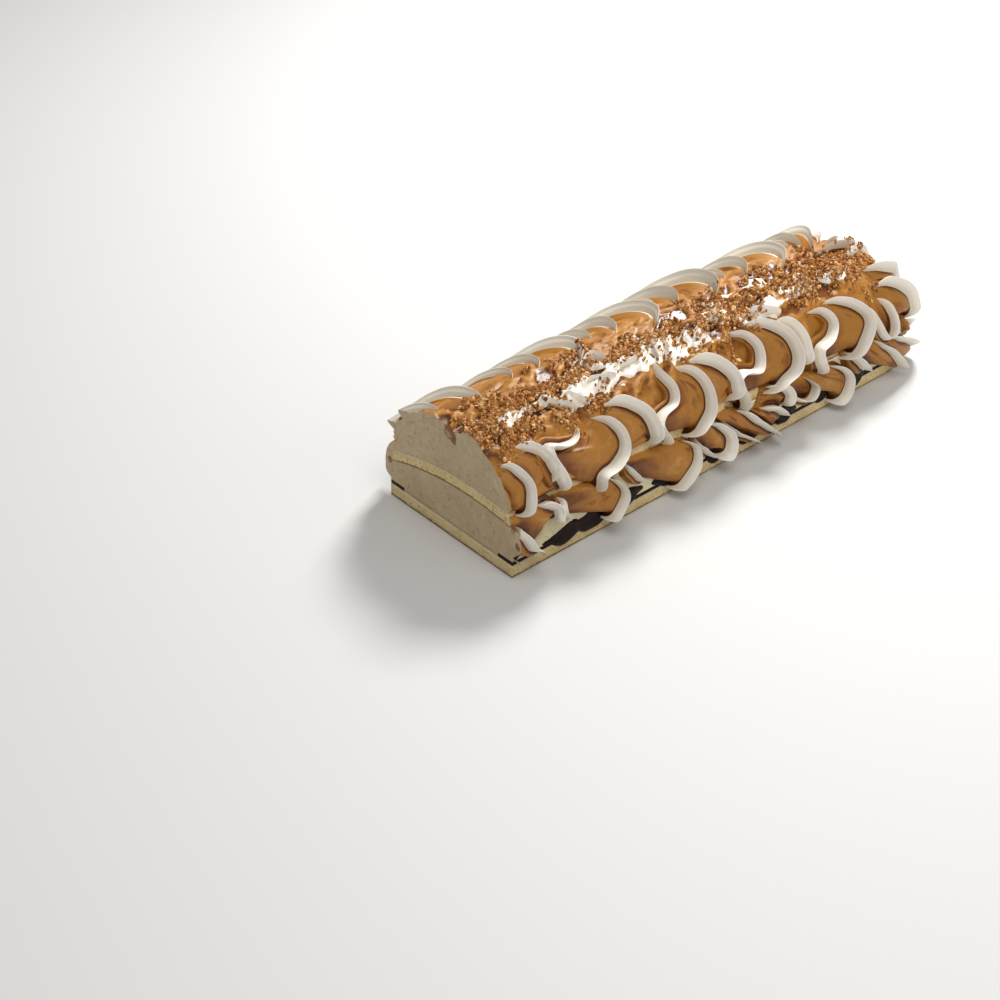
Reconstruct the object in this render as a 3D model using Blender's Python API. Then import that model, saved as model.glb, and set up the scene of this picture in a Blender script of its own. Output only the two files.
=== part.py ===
"""Long ice cream cake with its near end cut off.

Two thin sponges and two layers of ice cream lie under a cover of cream that is piped in shells:
an upper row that hangs from the crest over each shoulder, and a lower row of lobes along each foot.
X runs along the cake from the cut face to the far end, Z is up, and the base's centre is the origin.
"""

import math
import random

import bmesh
import bpy
from mathutils import Euler, Matrix, Vector
from mathutils.bvhtree import BVHTree

cm = 0.01

# Driving dimensions of the cake under its piping
core_length = 45.0 * cm  # cut face to far end
half_width = 6.5 * cm
core_height = 8.5 * cm
section_power = 2.7  # a superellipse's exponent: 2 is an ellipse, more is squarer
plan_power = 5.0  # the same for the far end, seen from above
turn_radius = 7.5 * cm  # the far end's mean radius, along which places are counted
gap = 0.03 * cm  # between pieces that touch
sunk_depth = 0.3 * cm  # how far the rims of the piping are sunk into the core
inner_depth = 0.7 * cm  # how far its closed underside lies inside the core
far = 60 * cm  # well beyond the cake, for cutters
merge_reach = 0.001 * cm  # corners closer than this are one
core_columns = 12
core_rows = 10
crest_crowding = 0.9  # under 1 gathers the core's columns towards its foot

# Layers
overhang = 1.05  # how much wider than the cake the layers are before the core trims them
base_sponge_top = 1.0 * cm
arch_edge = 3.5 * cm  # underside of the middle sponge at the cake's sides
arch_rise = 0.85 * cm  # how much higher that is on the centre line
arch_tilt = 0.5 * cm  # how much the front side is above that, and the back side below it
middle_sponge_thickness = 0.9 * cm
sauce_depth = 1.5 * cm  # how far the seam of sauce reaches in from each side
sauce_thickness = 0.28 * cm

# Piping
coat_lift = 0.5  # thickness of the cream under the shells, in cm
coat_edge = 7.0  # how far down from the crest that coat reaches, in cm
ridge_half_width = 0.52 * cm
lower_ridge_lift = 1.75 * cm  # crest of a ridge above the core
floor_clearance = 0.12 * cm
crest_lead = 1.5 * cm  # how far the coat along the top starts before the cut
crest_past = 1.1 * cm  # and ends past the straight length
end_coat_start = 1.2 * cm  # how far before the end of the straight length the far end's coat starts
end_coat_turn = 1.1 * math.pi  # how far round the far end it goes
end_coat_rows = 16
end_coat_step = 0.02 * cm  # it lies this much proud of the coat along the top
rough_reach = 3.0 * cm  # the crest is rough this far down on both sides
rough_shift = 0.25 * cm
streak_lift = 1.5 * cm
valley_share = 0.62  # a valley's height next to its ridge's
streak_valley_share = 0.3
valley_sag = -0.12  # height share in the middle of a valley
slimmest = 0.35  # a ridge's width at its ends, next to its width where it is fullest
skirt_offset = 1.7  # where a shell's rim goes down, in half widths of its outer ridge
shell_rows = 7
lobe_rows = 5
streak_rows = 4
shortest_edge = 0.13 * cm  # of the piping's mesh
crumb_count = 60
crumb_size = 0.5 * cm
crumb_start = 0.6 * cm
crumb_end_margin = 2.4 * cm
crumb_spread = 1.5 * cm

# A ridge is a Bezier curve through four (along the cake, down from the crest) points, in cm. Those of a
# shell are counted from the shell's place. A shell's bend scales how far its ridges bow from a straight run.
front_shell = [
    [(2.4, 1.6), (6.3, 6.0), (-3.8, 4.7), (0.9, 8.4)],
    [(3.9, 1.6), (6.0, 2.6), (8.2, 7.4), (3.9, 8.7)],
    [(5.6, 1.6), (7.8, 2.6), (10.4, 5.0), (9.2, 7.7)],
]
back_shell = [
    [(0.0, -0.3), (4.2, 1.6), (0.6, 6.4), (-5.5, 7.6)],
    [(-2.6, 0.6), (0.4, 2.2), (-1.7, 6.2), (-7.0, 7.9)],
    [(-4.8, 1.0), (-2.8, 2.4), (-4.0, 6.0), (-8.4, 8.3)],
]
front_row = [
    {"place": -5.1, "bend": 1.0, "drop": 0.0, "lift": 1.6},
    {"place": 3.9, "bend": 1.0, "drop": -0.2, "lift": 1.8},
    {"place": 13.7, "bend": 1.1, "drop": 0.3, "lift": 1.9},
    {"place": 22.3, "bend": 1.1, "drop": 0.1, "lift": 1.9},
    {"place": 31.0, "bend": 0.9, "drop": 0.4, "lift": 1.9},
    {"place": 39.2, "bend": 0.6, "drop": 0.3, "lift": 1.8},
]
back_row = [
    {"place": 2.6, "bend": 0.5, "drop": 0.2, "lift": 1.2},
    {"place": 11.1, "bend": 1.0, "drop": 0.0, "lift": 1.4},
    {"place": 19.0, "bend": 1.0, "drop": -0.1, "lift": 1.6},
    {"place": 25.9, "bend": 0.9, "drop": 0.3, "lift": 2.0},
    {"place": 33.6, "bend": 1.0, "drop": 0.1, "lift": 1.7},
    {"place": 41.5, "bend": 0.9, "drop": 0.2, "lift": 1.6},
    {"place": 50.0, "bend": 0.6, "drop": 0.2, "lift": 1.7},
]
front_lobes = [
    [
        [(-3.2, 7.3), (-2.6, 8.5), (-1.9, 9.5), (-2.0, 10.6)],
        [(-0.2, 7.2), (-0.3, 8.6), (0.6, 10.0), (2.0, 10.8)],
        [(2.1, 7.5), (3.6, 7.6), (4.2, 8.4), (3.0, 9.3)],
    ],
    [
        [(4.4, 7.4), (4.5, 8.0), (4.3, 8.6), (4.3, 9.2)],
        [(7.6, 7.0), (10.2, 8.2), (10.4, 10.2), (8.2, 11.2)],
    ],
    [
        [(10.9, 7.6), (11.2, 8.4), (11.6, 9.2), (12.2, 9.9)],
        [(15.4, 7.4), (18.4, 8.6), (17.4, 10.6), (14.9, 11.5)],
    ],
    [
        [(17.0, 7.6), (17.6, 8.2), (17.9, 9.0), (17.6, 9.9)],
        [(18.2, 7.5), (20.6, 8.0), (21.2, 9.6), (19.7, 11.1)],
    ],
    [
        [(20.6, 7.5), (21.4, 9.4), (22.8, 10.6), (24.8, 11.5)],
        [(22.4, 7.7), (23.4, 9.4), (25.2, 10.6), (27.2, 12.0)],
        [(25.3, 8.2), (26.6, 8.7), (27.6, 9.6), (27.7, 10.7)],
    ],
    [
        [(27.7, 7.6), (28.4, 9.4), (29.6, 10.0), (30.4, 9.6)],
        [(30.6, 7.8), (31.2, 8.8), (31.0, 10.0), (30.8, 10.9)],
        [(33.1, 8.0), (34.8, 8.6), (35.6, 10.2), (34.4, 11.5)],
    ],
    [
        [(35.2, 7.8), (36.0, 8.6), (36.8, 9.6), (37.7, 10.5)],
        [(38.0, 7.9), (39.4, 9.0), (40.6, 10.4), (41.8, 12.1)],
        [(40.8, 8.2), (42.2, 9.0), (43.6, 10.4), (44.4, 12.0)],
    ],
]
lobe = [
    [(0.4, 7.4), (0.6, 8.2), (0.8, 9.0), (0.9, 9.8)],
    [(3.9, 7.2), (6.0, 8.2), (6.2, 10.2), (4.4, 11.4)],
    [(6.4, 7.5), (7.9, 8.2), (8.2, 9.6), (7.2, 10.7)],
]
front_lobe_places = [45.0]
back_lobe_places = [-4.0, 4.8, 13.0, 21.9, 30.4, 38.6, 44.6]
crest_rows = 26
crest_roughness = 0.22
# Across the top, from the back to the front: (down from the crest, lift), in cm
crest_profile = [
    (-coat_edge - 0.5, -0.3),
    (-coat_edge, coat_lift),
    (-5.0, coat_lift),
    (-3.2, coat_lift),
    (-2.0, 0.8),
    (-1.0, 0.95),
    (0.3, 0.45),
    (1.5, 1.05),
    (2.4, 0.8),
    (3.3, coat_lift),
    (5.0, coat_lift),
    (coat_edge, coat_lift),
    (coat_edge + 0.5, -0.3),
]
crest_streaks = [
    [(4.8, 1.9), (6.4, 2.3), (8.2, 2.2), (9.8, 1.8)],
    [(7.2, 3.2), (8.6, 2.8), (10.4, 1.6), (11.6, 0.6)],
    [(13.0, 2.2), (14.2, 1.6), (15.4, 1.3), (16.6, 1.5)],
    [(16.2, 2.9), (16.8, 1.9), (17.9, 1.1), (19.0, 0.6)],
    [(21.0, 2.4), (22.2, 1.6), (23.3, 1.3), (24.4, 1.2)],
    [(25.4, 1.6), (26.6, 2.3), (27.8, 2.6), (29.0, 2.3)],
    [(31.4, 2.0), (32.8, 2.3), (34.1, 2.1), (35.4, 1.6)],
]


# The shape of the cake's side: reach from the centre plane and height, at a distance down from the crest.


def side_outline(steps=160):
    """Points (distance down, reach, height) along a quarter of the superellipse, from crest to foot."""
    found = []
    travelled = 0.0
    for i in range(steps + 1):
        angle = math.pi / 2 * i / steps
        reach = half_width * math.sin(angle) ** (2 / section_power)
        height = core_height * max(math.cos(angle), 0.0) ** (2 / section_power)
        if found:
            travelled += math.hypot(reach - found[-1][1], height - found[-1][2])
        found.append((travelled, reach, height))
    return found


outline = side_outline()
side_length = outline[-1][0]


def side_point(down):
    """(reach, height) of the core's side; a negative distance lies across the crest."""
    sign = -1 if down < 0 else 1
    down = min(abs(down), side_length)
    for (d0, r0, h0), (d1, r1, h1) in zip(outline, outline[1:]):
        if down <= d1:
            part = (down - d0) / (d1 - d0)
            return sign * (r0 + part * (r1 - r0)), h0 + part * (h1 - h0)
    return sign * outline[-1][1], outline[-1][2]


def side_normal(down):
    step = 0.15 * cm
    low = min(down + step, side_length)
    high = low - 2 * step
    r0, h0 = side_point(high)
    r1, h1 = side_point(low)
    length = math.hypot(r1 - r0, h1 - h0)
    return (h0 - h1) / length, (r1 - r0) / length


straight_length = core_length - half_width


def cover_point(along, down, lift, side):
    """A point over the core: along the cake and then round its far end, down from the crest, and out by lift.

    side is -1 for the front (towards -Y) and 1 for the back."""
    reach, height = side_point(down)
    out, up = side_normal(down)
    turn = max(along - straight_length, 0.0) / turn_radius
    squareness = (abs(math.cos(turn)) ** plan_power + abs(math.sin(turn)) ** plan_power) ** (-1 / plan_power)
    distance = reach * squareness + out * lift
    x = min(along, straight_length) + distance * math.sin(turn)
    y = side * distance * math.cos(turn)
    return Vector((x, y, height + up * lift))


# Meshes


def add_object(name, bm, collection):
    mesh = bpy.data.meshes.new(name)
    bm.to_mesh(mesh)
    bm.free()
    obj = bpy.data.objects.new(name, mesh)
    collection.objects.link(obj)
    return obj


def grid(columns, rows):
    """A flat grid, and each vertex's place in it as (0 to 1 across, 0 to 1 along)."""
    bm = bmesh.new()
    bmesh.ops.create_grid(bm, x_segments=columns, y_segments=rows, size=0.5)
    places = {v: (v.co.x + 0.5, v.co.y + 0.5) for v in bm.verts}
    return bm, places


def core_solid(name, lift, collection):
    """The cake's whole body, grown by lift: half of it is a bent grid, mirrored, with its open ends filled."""
    bm, places = grid(core_columns, core_rows)
    lead = 1.0 * cm  # the body starts this far before the cut, which then trims it
    below = -0.5 * cm  # and this far under the base
    quarter_turn = math.pi / 2 * turn_radius
    for v, (across, along) in places.items():
        row = round(along * core_rows)
        place = -lead if row == 0 else straight_length + quarter_turn * (row - 1) / (core_rows - 1)
        v.co = cover_point(place, side_length * across**crest_crowding, lift, -1)
        if across == 0 or row == core_rows:
            v.co.y = 0
        if round(across * core_columns) == core_columns:
            v.co.z = below
    bmesh.ops.mirror(bm, geom=bm.verts[:] + bm.edges[:] + bm.faces[:], axis="Y", merge_dist=merge_reach)
    bmesh.ops.remove_doubles(bm, verts=bm.verts, dist=2 * merge_reach)
    corners = [v for v in bm.verts if v.co.z < 0 and v.co.x < -0.99 * lead]
    bm.edges.new(corners)
    bmesh.ops.edgenet_fill(bm, edges=[e for e in bm.edges if len(e.link_faces) < 2])
    bmesh.ops.recalc_face_normals(bm, faces=bm.faces)
    return add_object(name, bm, collection)


def box_solid(name, low, high, collection):
    bm = bmesh.new()
    bmesh.ops.create_cube(bm, size=1.0)
    size = Vector(high) - Vector(low)
    centre = (Vector(high) + Vector(low)) / 2
    bmesh.ops.transform(bm, verts=bm.verts, matrix=Matrix.Translation(centre) @ Matrix.Diagonal((*size, 1)))
    return add_object(name, bm, collection)


def prism(name, section, collection):
    """A closed (across, up) outline, carried along the cake from its cut face to past its far end."""
    length = core_length + 3 * cm  # past the far end
    curve = bpy.data.curves.new(name, "CURVE")
    curve.dimensions = "2D"
    curve.fill_mode = "BOTH"
    curve.extrude = length / 2
    spline = curve.splines.new("POLY")
    spline.points.add(len(section) - 1)
    for point, (y, z) in zip(spline.points, section):
        point.co = (y, z, 0, 1)
    spline.use_cyclic_u = True
    flat = bpy.data.objects.new(name + "_outline", curve)
    collection.objects.link(flat)
    bpy.context.view_layer.update()
    evaluated = flat.evaluated_get(bpy.context.evaluated_depsgraph_get())
    bm = bmesh.new()
    bm.from_mesh(evaluated.to_mesh())
    bpy.data.objects.remove(flat)
    bmesh.ops.remove_doubles(bm, verts=bm.verts, dist=merge_reach)
    stand_up = Matrix(((0, 0, 1, length / 2), (1, 0, 0, 0), (0, 1, 0, 0), (0, 0, 0, 1)))
    bmesh.ops.transform(bm, verts=bm.verts, matrix=stand_up)
    bmesh.ops.recalc_face_normals(bm, faces=bm.faces)
    return add_object(name, bm, collection)


def boolean(obj, operation, operand, solver="EXACT"):
    """Joins, cuts or trims obj by an object or by all of a collection, and keeps the result in its mesh."""
    modifier = obj.modifiers.new(operation.lower(), "BOOLEAN")
    modifier.operation = operation
    modifier.solver = solver
    if isinstance(operand, bpy.types.Collection):
        modifier.operand_type = "COLLECTION"
        modifier.collection = operand
    else:
        modifier.object = operand
    bpy.context.view_layer.update()
    evaluated = obj.evaluated_get(bpy.context.evaluated_depsgraph_get())
    result = bpy.data.meshes.new_from_object(evaluated)
    obj.modifiers.clear()
    obj.data = result


# Layers


def arch_height(y):
    """Underside of the middle sponge: an arch across the cake, higher at the front."""
    share = max(-1.0, min(1.0, y / half_width))
    return arch_edge + arch_rise * (1 - share**2) - arch_tilt * share


def arch_line(raised, steps=12):
    """The arch from the front to the back, raised by a distance, a little wider than the cake."""
    reach = half_width * overhang
    ys = [-reach + 2 * reach * i / steps for i in range(steps + 1)]
    return [(y, arch_height(y) + raised) for y in ys]


def layer_sections():
    wide = half_width * overhang
    inner = half_width - sauce_depth
    seam_low = base_sponge_top + gap
    seam_high = seam_low + sauce_thickness
    sponge_low = arch_line(0.0)
    sponge_high = arch_line(middle_sponge_thickness)
    top = core_height + 1 * cm
    return {
        "base_sponge": [(-wide, 0.0), (wide, 0.0), (wide, base_sponge_top), (-wide, base_sponge_top)],
        "lower_ice_cream": [
            *reversed(arch_line(-gap)),
            (-wide, seam_high + gap),
            (-inner, seam_high + gap),
            (-inner, seam_low),
            (inner, seam_low),
            (inner, seam_high + gap),
            (wide, seam_high + gap),
        ],
        "middle_sponge": [*sponge_low, *reversed(sponge_high)],
        "upper_ice_cream": [*arch_line(middle_sponge_thickness + gap), (wide, top), (-wide, top)],
        "sauce_seam_front": [(-wide, seam_low), (-inner - gap, seam_low), (-inner - gap, seam_high), (-wide, seam_high)],
        "sauce_seam_back": [(inner + gap, seam_low), (wide, seam_low), (wide, seam_high), (inner + gap, seam_high)],
    }


def make_layers(parts, cutters):
    core = core_solid("core_cutter", 0.0, cutters)
    made = {}
    for name, section in layer_sections().items():
        made[name] = prism(name, section, parts)
        boolean(made[name], "INTERSECT", core, "MANIFOLD")
    return made


# Piping


def ridge_place(ridge, t):
    """Where a ridge runs: (along, down) at t from 0 at its start near the crest to 1 at its tail."""
    a, b, c, d = (Vector(point) * cm for point in ridge)
    return a * (1 - t) ** 3 + b * 3 * t * (1 - t) ** 2 + c * 3 * t**2 * (1 - t) + d * t**3


def ridge_side(ridge, t):
    """The direction across a ridge, towards the next one."""
    step = 0.02
    run = ridge_place(ridge, min(t + step, 1.0)) - ridge_place(ridge, max(t - step, 0.0))
    run.normalize()
    return Vector((run.y, -run.x))


def swell(t):
    """How full a shell is along its length: slim at the crest, full on the shoulder, thin at its tail."""
    start, end, bluntness = 0.12, 0.92, 0.8  # parts of a half wave, and how blunt it is
    return math.sin(math.pi * (start + (end - start) * t)) ** bluntness


# Columns across one ridge: the offset in half widths, and the height between the valley (0) and the crest (1)
ridge_columns = [(-1.0, 0.0), (-0.35, 0.95), (0.35, 1.0), (1.0, 0.0)]


def shell_columns(ridges):
    """One function for each column of a shell, from outside its first ridge to outside its last.

    Each gives (place, height share, skirt) at t: skirt columns are sunk into the core."""
    columns = []

    def beside(ridge, offset, share, sunk=False):
        def at(t):
            width = ridge_half_width * (slimmest + (1 - slimmest) * swell(t))
            return ridge_place(ridge, t) + ridge_side(ridge, t) * offset * width, share, sunk

        return at

    def between(left, right):
        def at(t):
            middle = ridge_place(left, t).lerp(ridge_place(right, t), 0.5)
            return middle, valley_sag, False

        return at

    columns.append(beside(ridges[0], -skirt_offset, 0.0, sunk=True))
    for i, ridge in enumerate(ridges):
        if i:
            columns.append(between(ridges[i - 1], ridge))
        columns += [beside(ridge, offset, share) for offset, share in ridge_columns]
    columns.append(beside(ridges[-1], skirt_offset, 0.0, sunk=True))
    return columns


def closed_cover(bm, places, spots, side):
    """Bends a flat grid over the core, each vertex to its (along, down, lift), and closes it inside the core."""
    grown = bmesh.ops.extrude_face_region(bm, geom=bm.faces[:])
    upper = [v for v in grown["geom"] if isinstance(v, bmesh.types.BMVert)]
    lookup = {(round(x, 5), round(y, 5)): v for v, (x, y) in places.items()}
    for v in upper:
        x, down, lift = spots[lookup[(round(v.co.x + 0.5, 5), round(v.co.y + 0.5, 5))]]
        v.co = cover_point(x, down, lift, side)
    for v, (x, down, _) in spots.items():
        v.co = cover_point(x, down, -inner_depth, side)
    bmesh.ops.triangulate(bm, faces=bm.faces)
    bmesh.ops.recalc_face_normals(bm, faces=bm.faces)


def piped_shell(name, ridges, ridge_lift, side, collection, rows=shell_rows, valley=valley_share):
    """A fan of cream: a grid over its ridges and valleys, closed below by the same grid inside the core."""
    columns = shell_columns(ridges)
    bm, places = grid(len(columns) - 1, rows)
    spots = {}
    for v, (across, along) in places.items():
        place, share, sunk = columns[round(across * (len(columns) - 1))](along)
        crest = ridge_lift * swell(along)
        low = crest * valley * (1 - 0.8 * along**5)  # valleys open out towards the tail
        spots[v] = (place.x, place.y, -sunk_depth if sunk else low + (crest - low) * share)
    closed_cover(bm, places, spots, side)
    return add_object(name, bm, collection)


def placed_ridges(ridges, place, bend=1.0, drop=0.0):
    """A shell's own ridges, from the common ones."""
    placed = []
    for ridge in ridges:
        first, leave, reach, last = (Vector(point) + Vector((place, 0)) for point in ridge)
        leave = first.lerp(last, 1 / 3).lerp(leave, bend)
        reach = first.lerp(last, 2 / 3).lerp(reach, bend)
        placed.append([first, leave, reach, last + Vector((0, drop))])
    return placed


def pipe_upper_rows(collection):
    for side, row, shell in ((-1, front_row, front_shell), (1, back_row, back_shell)):
        for i, own in enumerate(row):
            ridges = placed_ridges(shell, own["place"], own["bend"], own["drop"])
            if side == 1:
                ridges.reverse()
            piped_shell(f"upper_{side}_{i}", ridges, own["lift"] * cm, side, collection)


def pipe_lower_rows(collection):
    for i, ridges in enumerate(front_lobes):
        piped_shell(f"lobe_front_{i}", ridges, lower_ridge_lift, -1, collection, lobe_rows)
    for side, places in ((-1, front_lobe_places), (1, back_lobe_places)):
        for i, place in enumerate(places):
            piped_shell(f"lobe_{side}_{i}", placed_ridges(lobe, place), lower_ridge_lift, side, collection, lobe_rows)


def coat_straight(name, collection):
    """The cream under the shells, and two rough mounds along the top with a groove between them."""
    rng = random.Random(3)
    columns = len(crest_profile) - 1
    bm, places = grid(columns, crest_rows)
    spots = {}
    for v, (across, along) in sorted(places.items(), key=lambda item: item[1]):
        down, lift = crest_profile[round(across * columns)]
        x = -crest_lead + (straight_length + crest_past + crest_lead) * along
        if abs(down * cm) < rough_reach and along < 1:
            lift += rng.uniform(-crest_roughness, crest_roughness)
            x += rng.uniform(-rough_shift, rough_shift)
        spots[v] = (x, down * cm, lift * cm if along < 1 else -sunk_depth)
    closed_cover(bm, places, spots, -1)
    return add_object(name, bm, collection)


def coat_end(collection):
    """The same cream round the far end."""
    downs = [0.5, 1.6, 3.2, 5.0, coat_edge, coat_edge + 0.5]
    bm, places = grid(len(downs) - 1, end_coat_rows)
    spots = {}
    for v, (across, along) in places.items():
        down = downs[round(across * (len(downs) - 1))]
        lift = -sunk_depth if down > coat_edge or along in (0, 1) else coat_lift * cm + end_coat_step
        spots[v] = (straight_length - end_coat_start + turn_radius * end_coat_turn * along, down * cm, lift)
    closed_cover(bm, places, spots, -1)
    add_object("coat_end", bm, collection)


def pipe_crest(collection):
    for i, ridge in enumerate(crest_streaks):
        piped_shell(f"crest_{i}", [ridge], streak_lift, -1, collection, streak_rows, streak_valley_share)


def largest_piece(obj):
    """Drops loose scraps: keeps the connected piece with the most faces."""
    bm = bmesh.new()
    bm.from_mesh(obj.data)
    unseen = set(bm.faces)
    pieces = []
    while unseen:
        start = unseen.pop()
        piece = {start}
        edge_of_piece = [start]
        while edge_of_piece:
            face = edge_of_piece.pop()
            for edge in face.edges:
                for other in edge.link_faces:
                    if other in unseen:
                        unseen.discard(other)
                        piece.add(other)
                        edge_of_piece.append(other)
        pieces.append(piece)
    pieces.sort(key=len, reverse=True)
    print("pieces in", obj.name, [len(piece) for piece in pieces])
    scraps = [face for piece in pieces[1:] for face in piece]
    bmesh.ops.delete(bm, geom=scraps, context="FACES")
    bm.to_mesh(obj.data)
    bm.free()


def triangles(obj):
    return sum(len(polygon.vertices) - 2 for polygon in obj.data.polygons)


def drop_folds(bm):
    """Removes triangles that lie back to back on the same corners, with the edges that only they had."""
    by_corners = {}
    for face in bm.faces:
        by_corners.setdefault(frozenset(face.verts), []).append(face)
    folded = [face for faces in by_corners.values() if len(faces) > 1 for face in faces]
    bmesh.ops.delete(bm, geom=folded, context="FACES_ONLY")
    bmesh.ops.delete(bm, geom=[e for e in bm.edges if not e.link_faces], context="EDGES")
    bmesh.ops.delete(bm, geom=[v for v in bm.verts if not v.link_faces], context="VERTS")


def keeps_its_shape(face, leaving, staying):
    """Whether a triangle still faces about the same way once one of its corners moves onto another vertex."""
    a, b, c = (staying.co if v is leaving else v.co for v in face.verts)
    turned = (b - a).cross(c - a)
    most_turn = 0.8  # cosine of the most that it may turn
    return turned.length > 1e-12 and turned.normalized().dot(face.normal) > most_turn


def part_corners(bm):
    """Where the cream touches itself, draws the corners that share a place apart, each into its own side."""
    bm.normal_update()
    together = {}
    for v in bm.verts:
        together.setdefault(tuple(round(c / merge_reach) for c in v.co), []).append(v)
    for corners in together.values():
        if len(corners) > 1:
            for v in corners:
                v.co -= v.normal * 10 * merge_reach


def merge_short_edges(obj, length):
    """Closes up the short edges that Booleans leave, except those that end on the cut or the underside."""
    bm = bmesh.new()
    bm.from_mesh(obj.data)
    bmesh.ops.triangulate(bm, faces=bm.faces, ngon_method="EAR_CLIP")
    drop_folds(bm)
    fixed = {v for v in bm.verts if abs(v.co.x) < 1e-6 or abs(v.co.z - floor_clearance) < 1e-6}
    merged = {None: None}
    while merged:
        bm.normal_update()
        merged = {}
        touched = set()
        fixed = {v for v in fixed if v.is_valid}
        short = [e for e in bm.edges if e.calc_length() < length and len(e.link_faces) == 2]
        for edge in sorted(short, key=lambda e: e.calc_length()):
            leaving, staying = edge.verts
            if leaving in fixed:
                leaving, staying = staying, leaving
            ring = {e.other_vert(leaving) for e in leaving.link_edges}
            far_ring = {e.other_vert(staying) for e in staying.link_edges}
            if leaving in fixed or touched & (ring | far_ring) or len(ring & far_ring) != 2:
                continue
            moved = [f for f in leaving.link_faces if staying not in f.verts]
            if all(keeps_its_shape(f, leaving, staying) for f in moved):
                merged[leaving] = staying
                touched |= ring | far_ring
        bmesh.ops.weld_verts(bm, targetmap=merged)
    part_corners(bm)
    bm.to_mesh(obj.data)
    bm.free()


def scatter_crumbs(cover, collection):
    """Crumbs half sunk in the cream along the crest."""
    rng = random.Random(7)
    tree = BVHTree.FromPolygons([v.co for v in cover.data.vertices], [p.vertices for p in cover.data.polygons])
    for i in range(crumb_count):
        x = crumb_start + (core_length - crumb_start - crumb_end_margin) * (i + rng.random()) / crumb_count
        y = rng.gauss(0.0, crumb_spread)
        hit = tree.ray_cast(Vector((x, y, far)), Vector((0, 0, -1)))[0]
        if hit is None:
            continue
        bm = bmesh.new()
        bmesh.ops.create_icosphere(bm, subdivisions=1, radius=crumb_size * rng.uniform(0.7, 1.3))
        turn = Euler([rng.uniform(0, math.tau) for _ in range(3)]).to_matrix().to_4x4()
        flat = Matrix.Diagonal((1.0, rng.uniform(0.6, 0.9), rng.uniform(0.5, 0.8), 1.0))
        bmesh.ops.transform(bm, verts=bm.verts, matrix=Matrix.Translation(hit) @ turn @ flat)
        add_object(f"crumb_{i}", bm, collection)


def remove_collection(collection):
    for obj in list(collection.objects):
        bpy.data.objects.remove(obj)
    bpy.data.collections.remove(collection)


def make_piping(parts, cutters):
    shells = bpy.data.collections.new("shells")
    bpy.context.scene.collection.children.link(shells)
    pipe_upper_rows(shells)
    pipe_lower_rows(shells)
    pipe_crest(shells)
    coat_end(shells)

    cover = coat_straight("piped_cream", parts)
    boolean(cover, "UNION", shells, "MANIFOLD")
    remove_collection(shells)

    crumbs = bpy.data.collections.new("crumbs")
    bpy.context.scene.collection.children.link(crumbs)
    scatter_crumbs(cover, crumbs)
    boolean(cover, "UNION", crumbs, "MANIFOLD")
    remove_collection(crumbs)

    boolean(cover, "DIFFERENCE", core_solid("core_clearance", gap, cutters), "MANIFOLD")
    boolean(cover, "DIFFERENCE", box_solid("cut_clearance", (-far, -far, -far), (0, far, far), cutters), "MANIFOLD")
    below = box_solid("floor_clearance", (-far, -far, -far), (far, far, floor_clearance), cutters)
    boolean(cover, "DIFFERENCE", below, "MANIFOLD")
    largest_piece(cover)
    merge_short_edges(cover, shortest_edge)
    return cover


# Materials and assembly

finishes = {
    "base_sponge": ((0.80, 0.66, 0.33), 0.85),
    "middle_sponge": ((0.80, 0.66, 0.33), 0.85),
    "lower_ice_cream": ((0.84, 0.77, 0.64), 0.6),
    "upper_ice_cream": ((0.86, 0.79, 0.67), 0.6),
    "sauce_seam_front": ((0.10, 0.035, 0.012), 0.2),
    "sauce_seam_back": ((0.10, 0.035, 0.012), 0.2),
    "piped_cream": ((0.83, 0.62, 0.38), 0.4),
}


def give_finish(obj):
    colour, roughness = finishes[obj.name]
    material = bpy.data.materials.new(obj.name)
    material.use_nodes = True
    shader = material.node_tree.nodes["Principled BSDF"]
    shader.inputs["Base Color"].default_value = (*colour, 1)
    shader.inputs["Roughness"].default_value = roughness
    shader.inputs["Metallic"].default_value = 0
    obj.data.materials.clear()
    obj.data.materials.append(material)


def centre_on_base(objects):
    """Moves the whole cake so that the middle of its box's underside is the origin."""
    corners = [v.co for obj in objects for v in obj.data.vertices]
    low = Vector(min(c[i] for c in corners) for i in range(3))
    high = Vector(max(c[i] for c in corners) for i in range(3))
    shift = Matrix.Translation((-(low.x + high.x) / 2, -(low.y + high.y) / 2, -low.z))
    for obj in objects:
        obj.data.transform(shift)


def main():
    for obj in list(bpy.data.objects):
        bpy.data.objects.remove(obj)
    parts = bpy.data.collections.new("ice_cream_cake")
    cutters = bpy.data.collections.new("cutters")
    bpy.context.scene.collection.children.link(parts)
    bpy.context.scene.collection.children.link(cutters)
    make_layers(parts, cutters)
    make_piping(parts, cutters)
    for obj in cutters.objects:
        obj.hide_render = True
        obj.display_type = "WIRE"
    made = list(parts.objects)
    centre_on_base(made)
    for obj in made:
        give_finish(obj)
        print(obj.name, triangles(obj), "triangles")


main()
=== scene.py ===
# Long ice cream cake, cut at its near end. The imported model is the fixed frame; this script gives it its looks.
# Places on the cake are in cm: along from the cut face, down from the crest, and lift out from the cake's core.

import itertools
import math
import random

import bmesh
import bpy
import numpy as np
from mathutils import Euler, Matrix, Vector, noise
from mathutils.bvhtree import BVHTree


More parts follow.
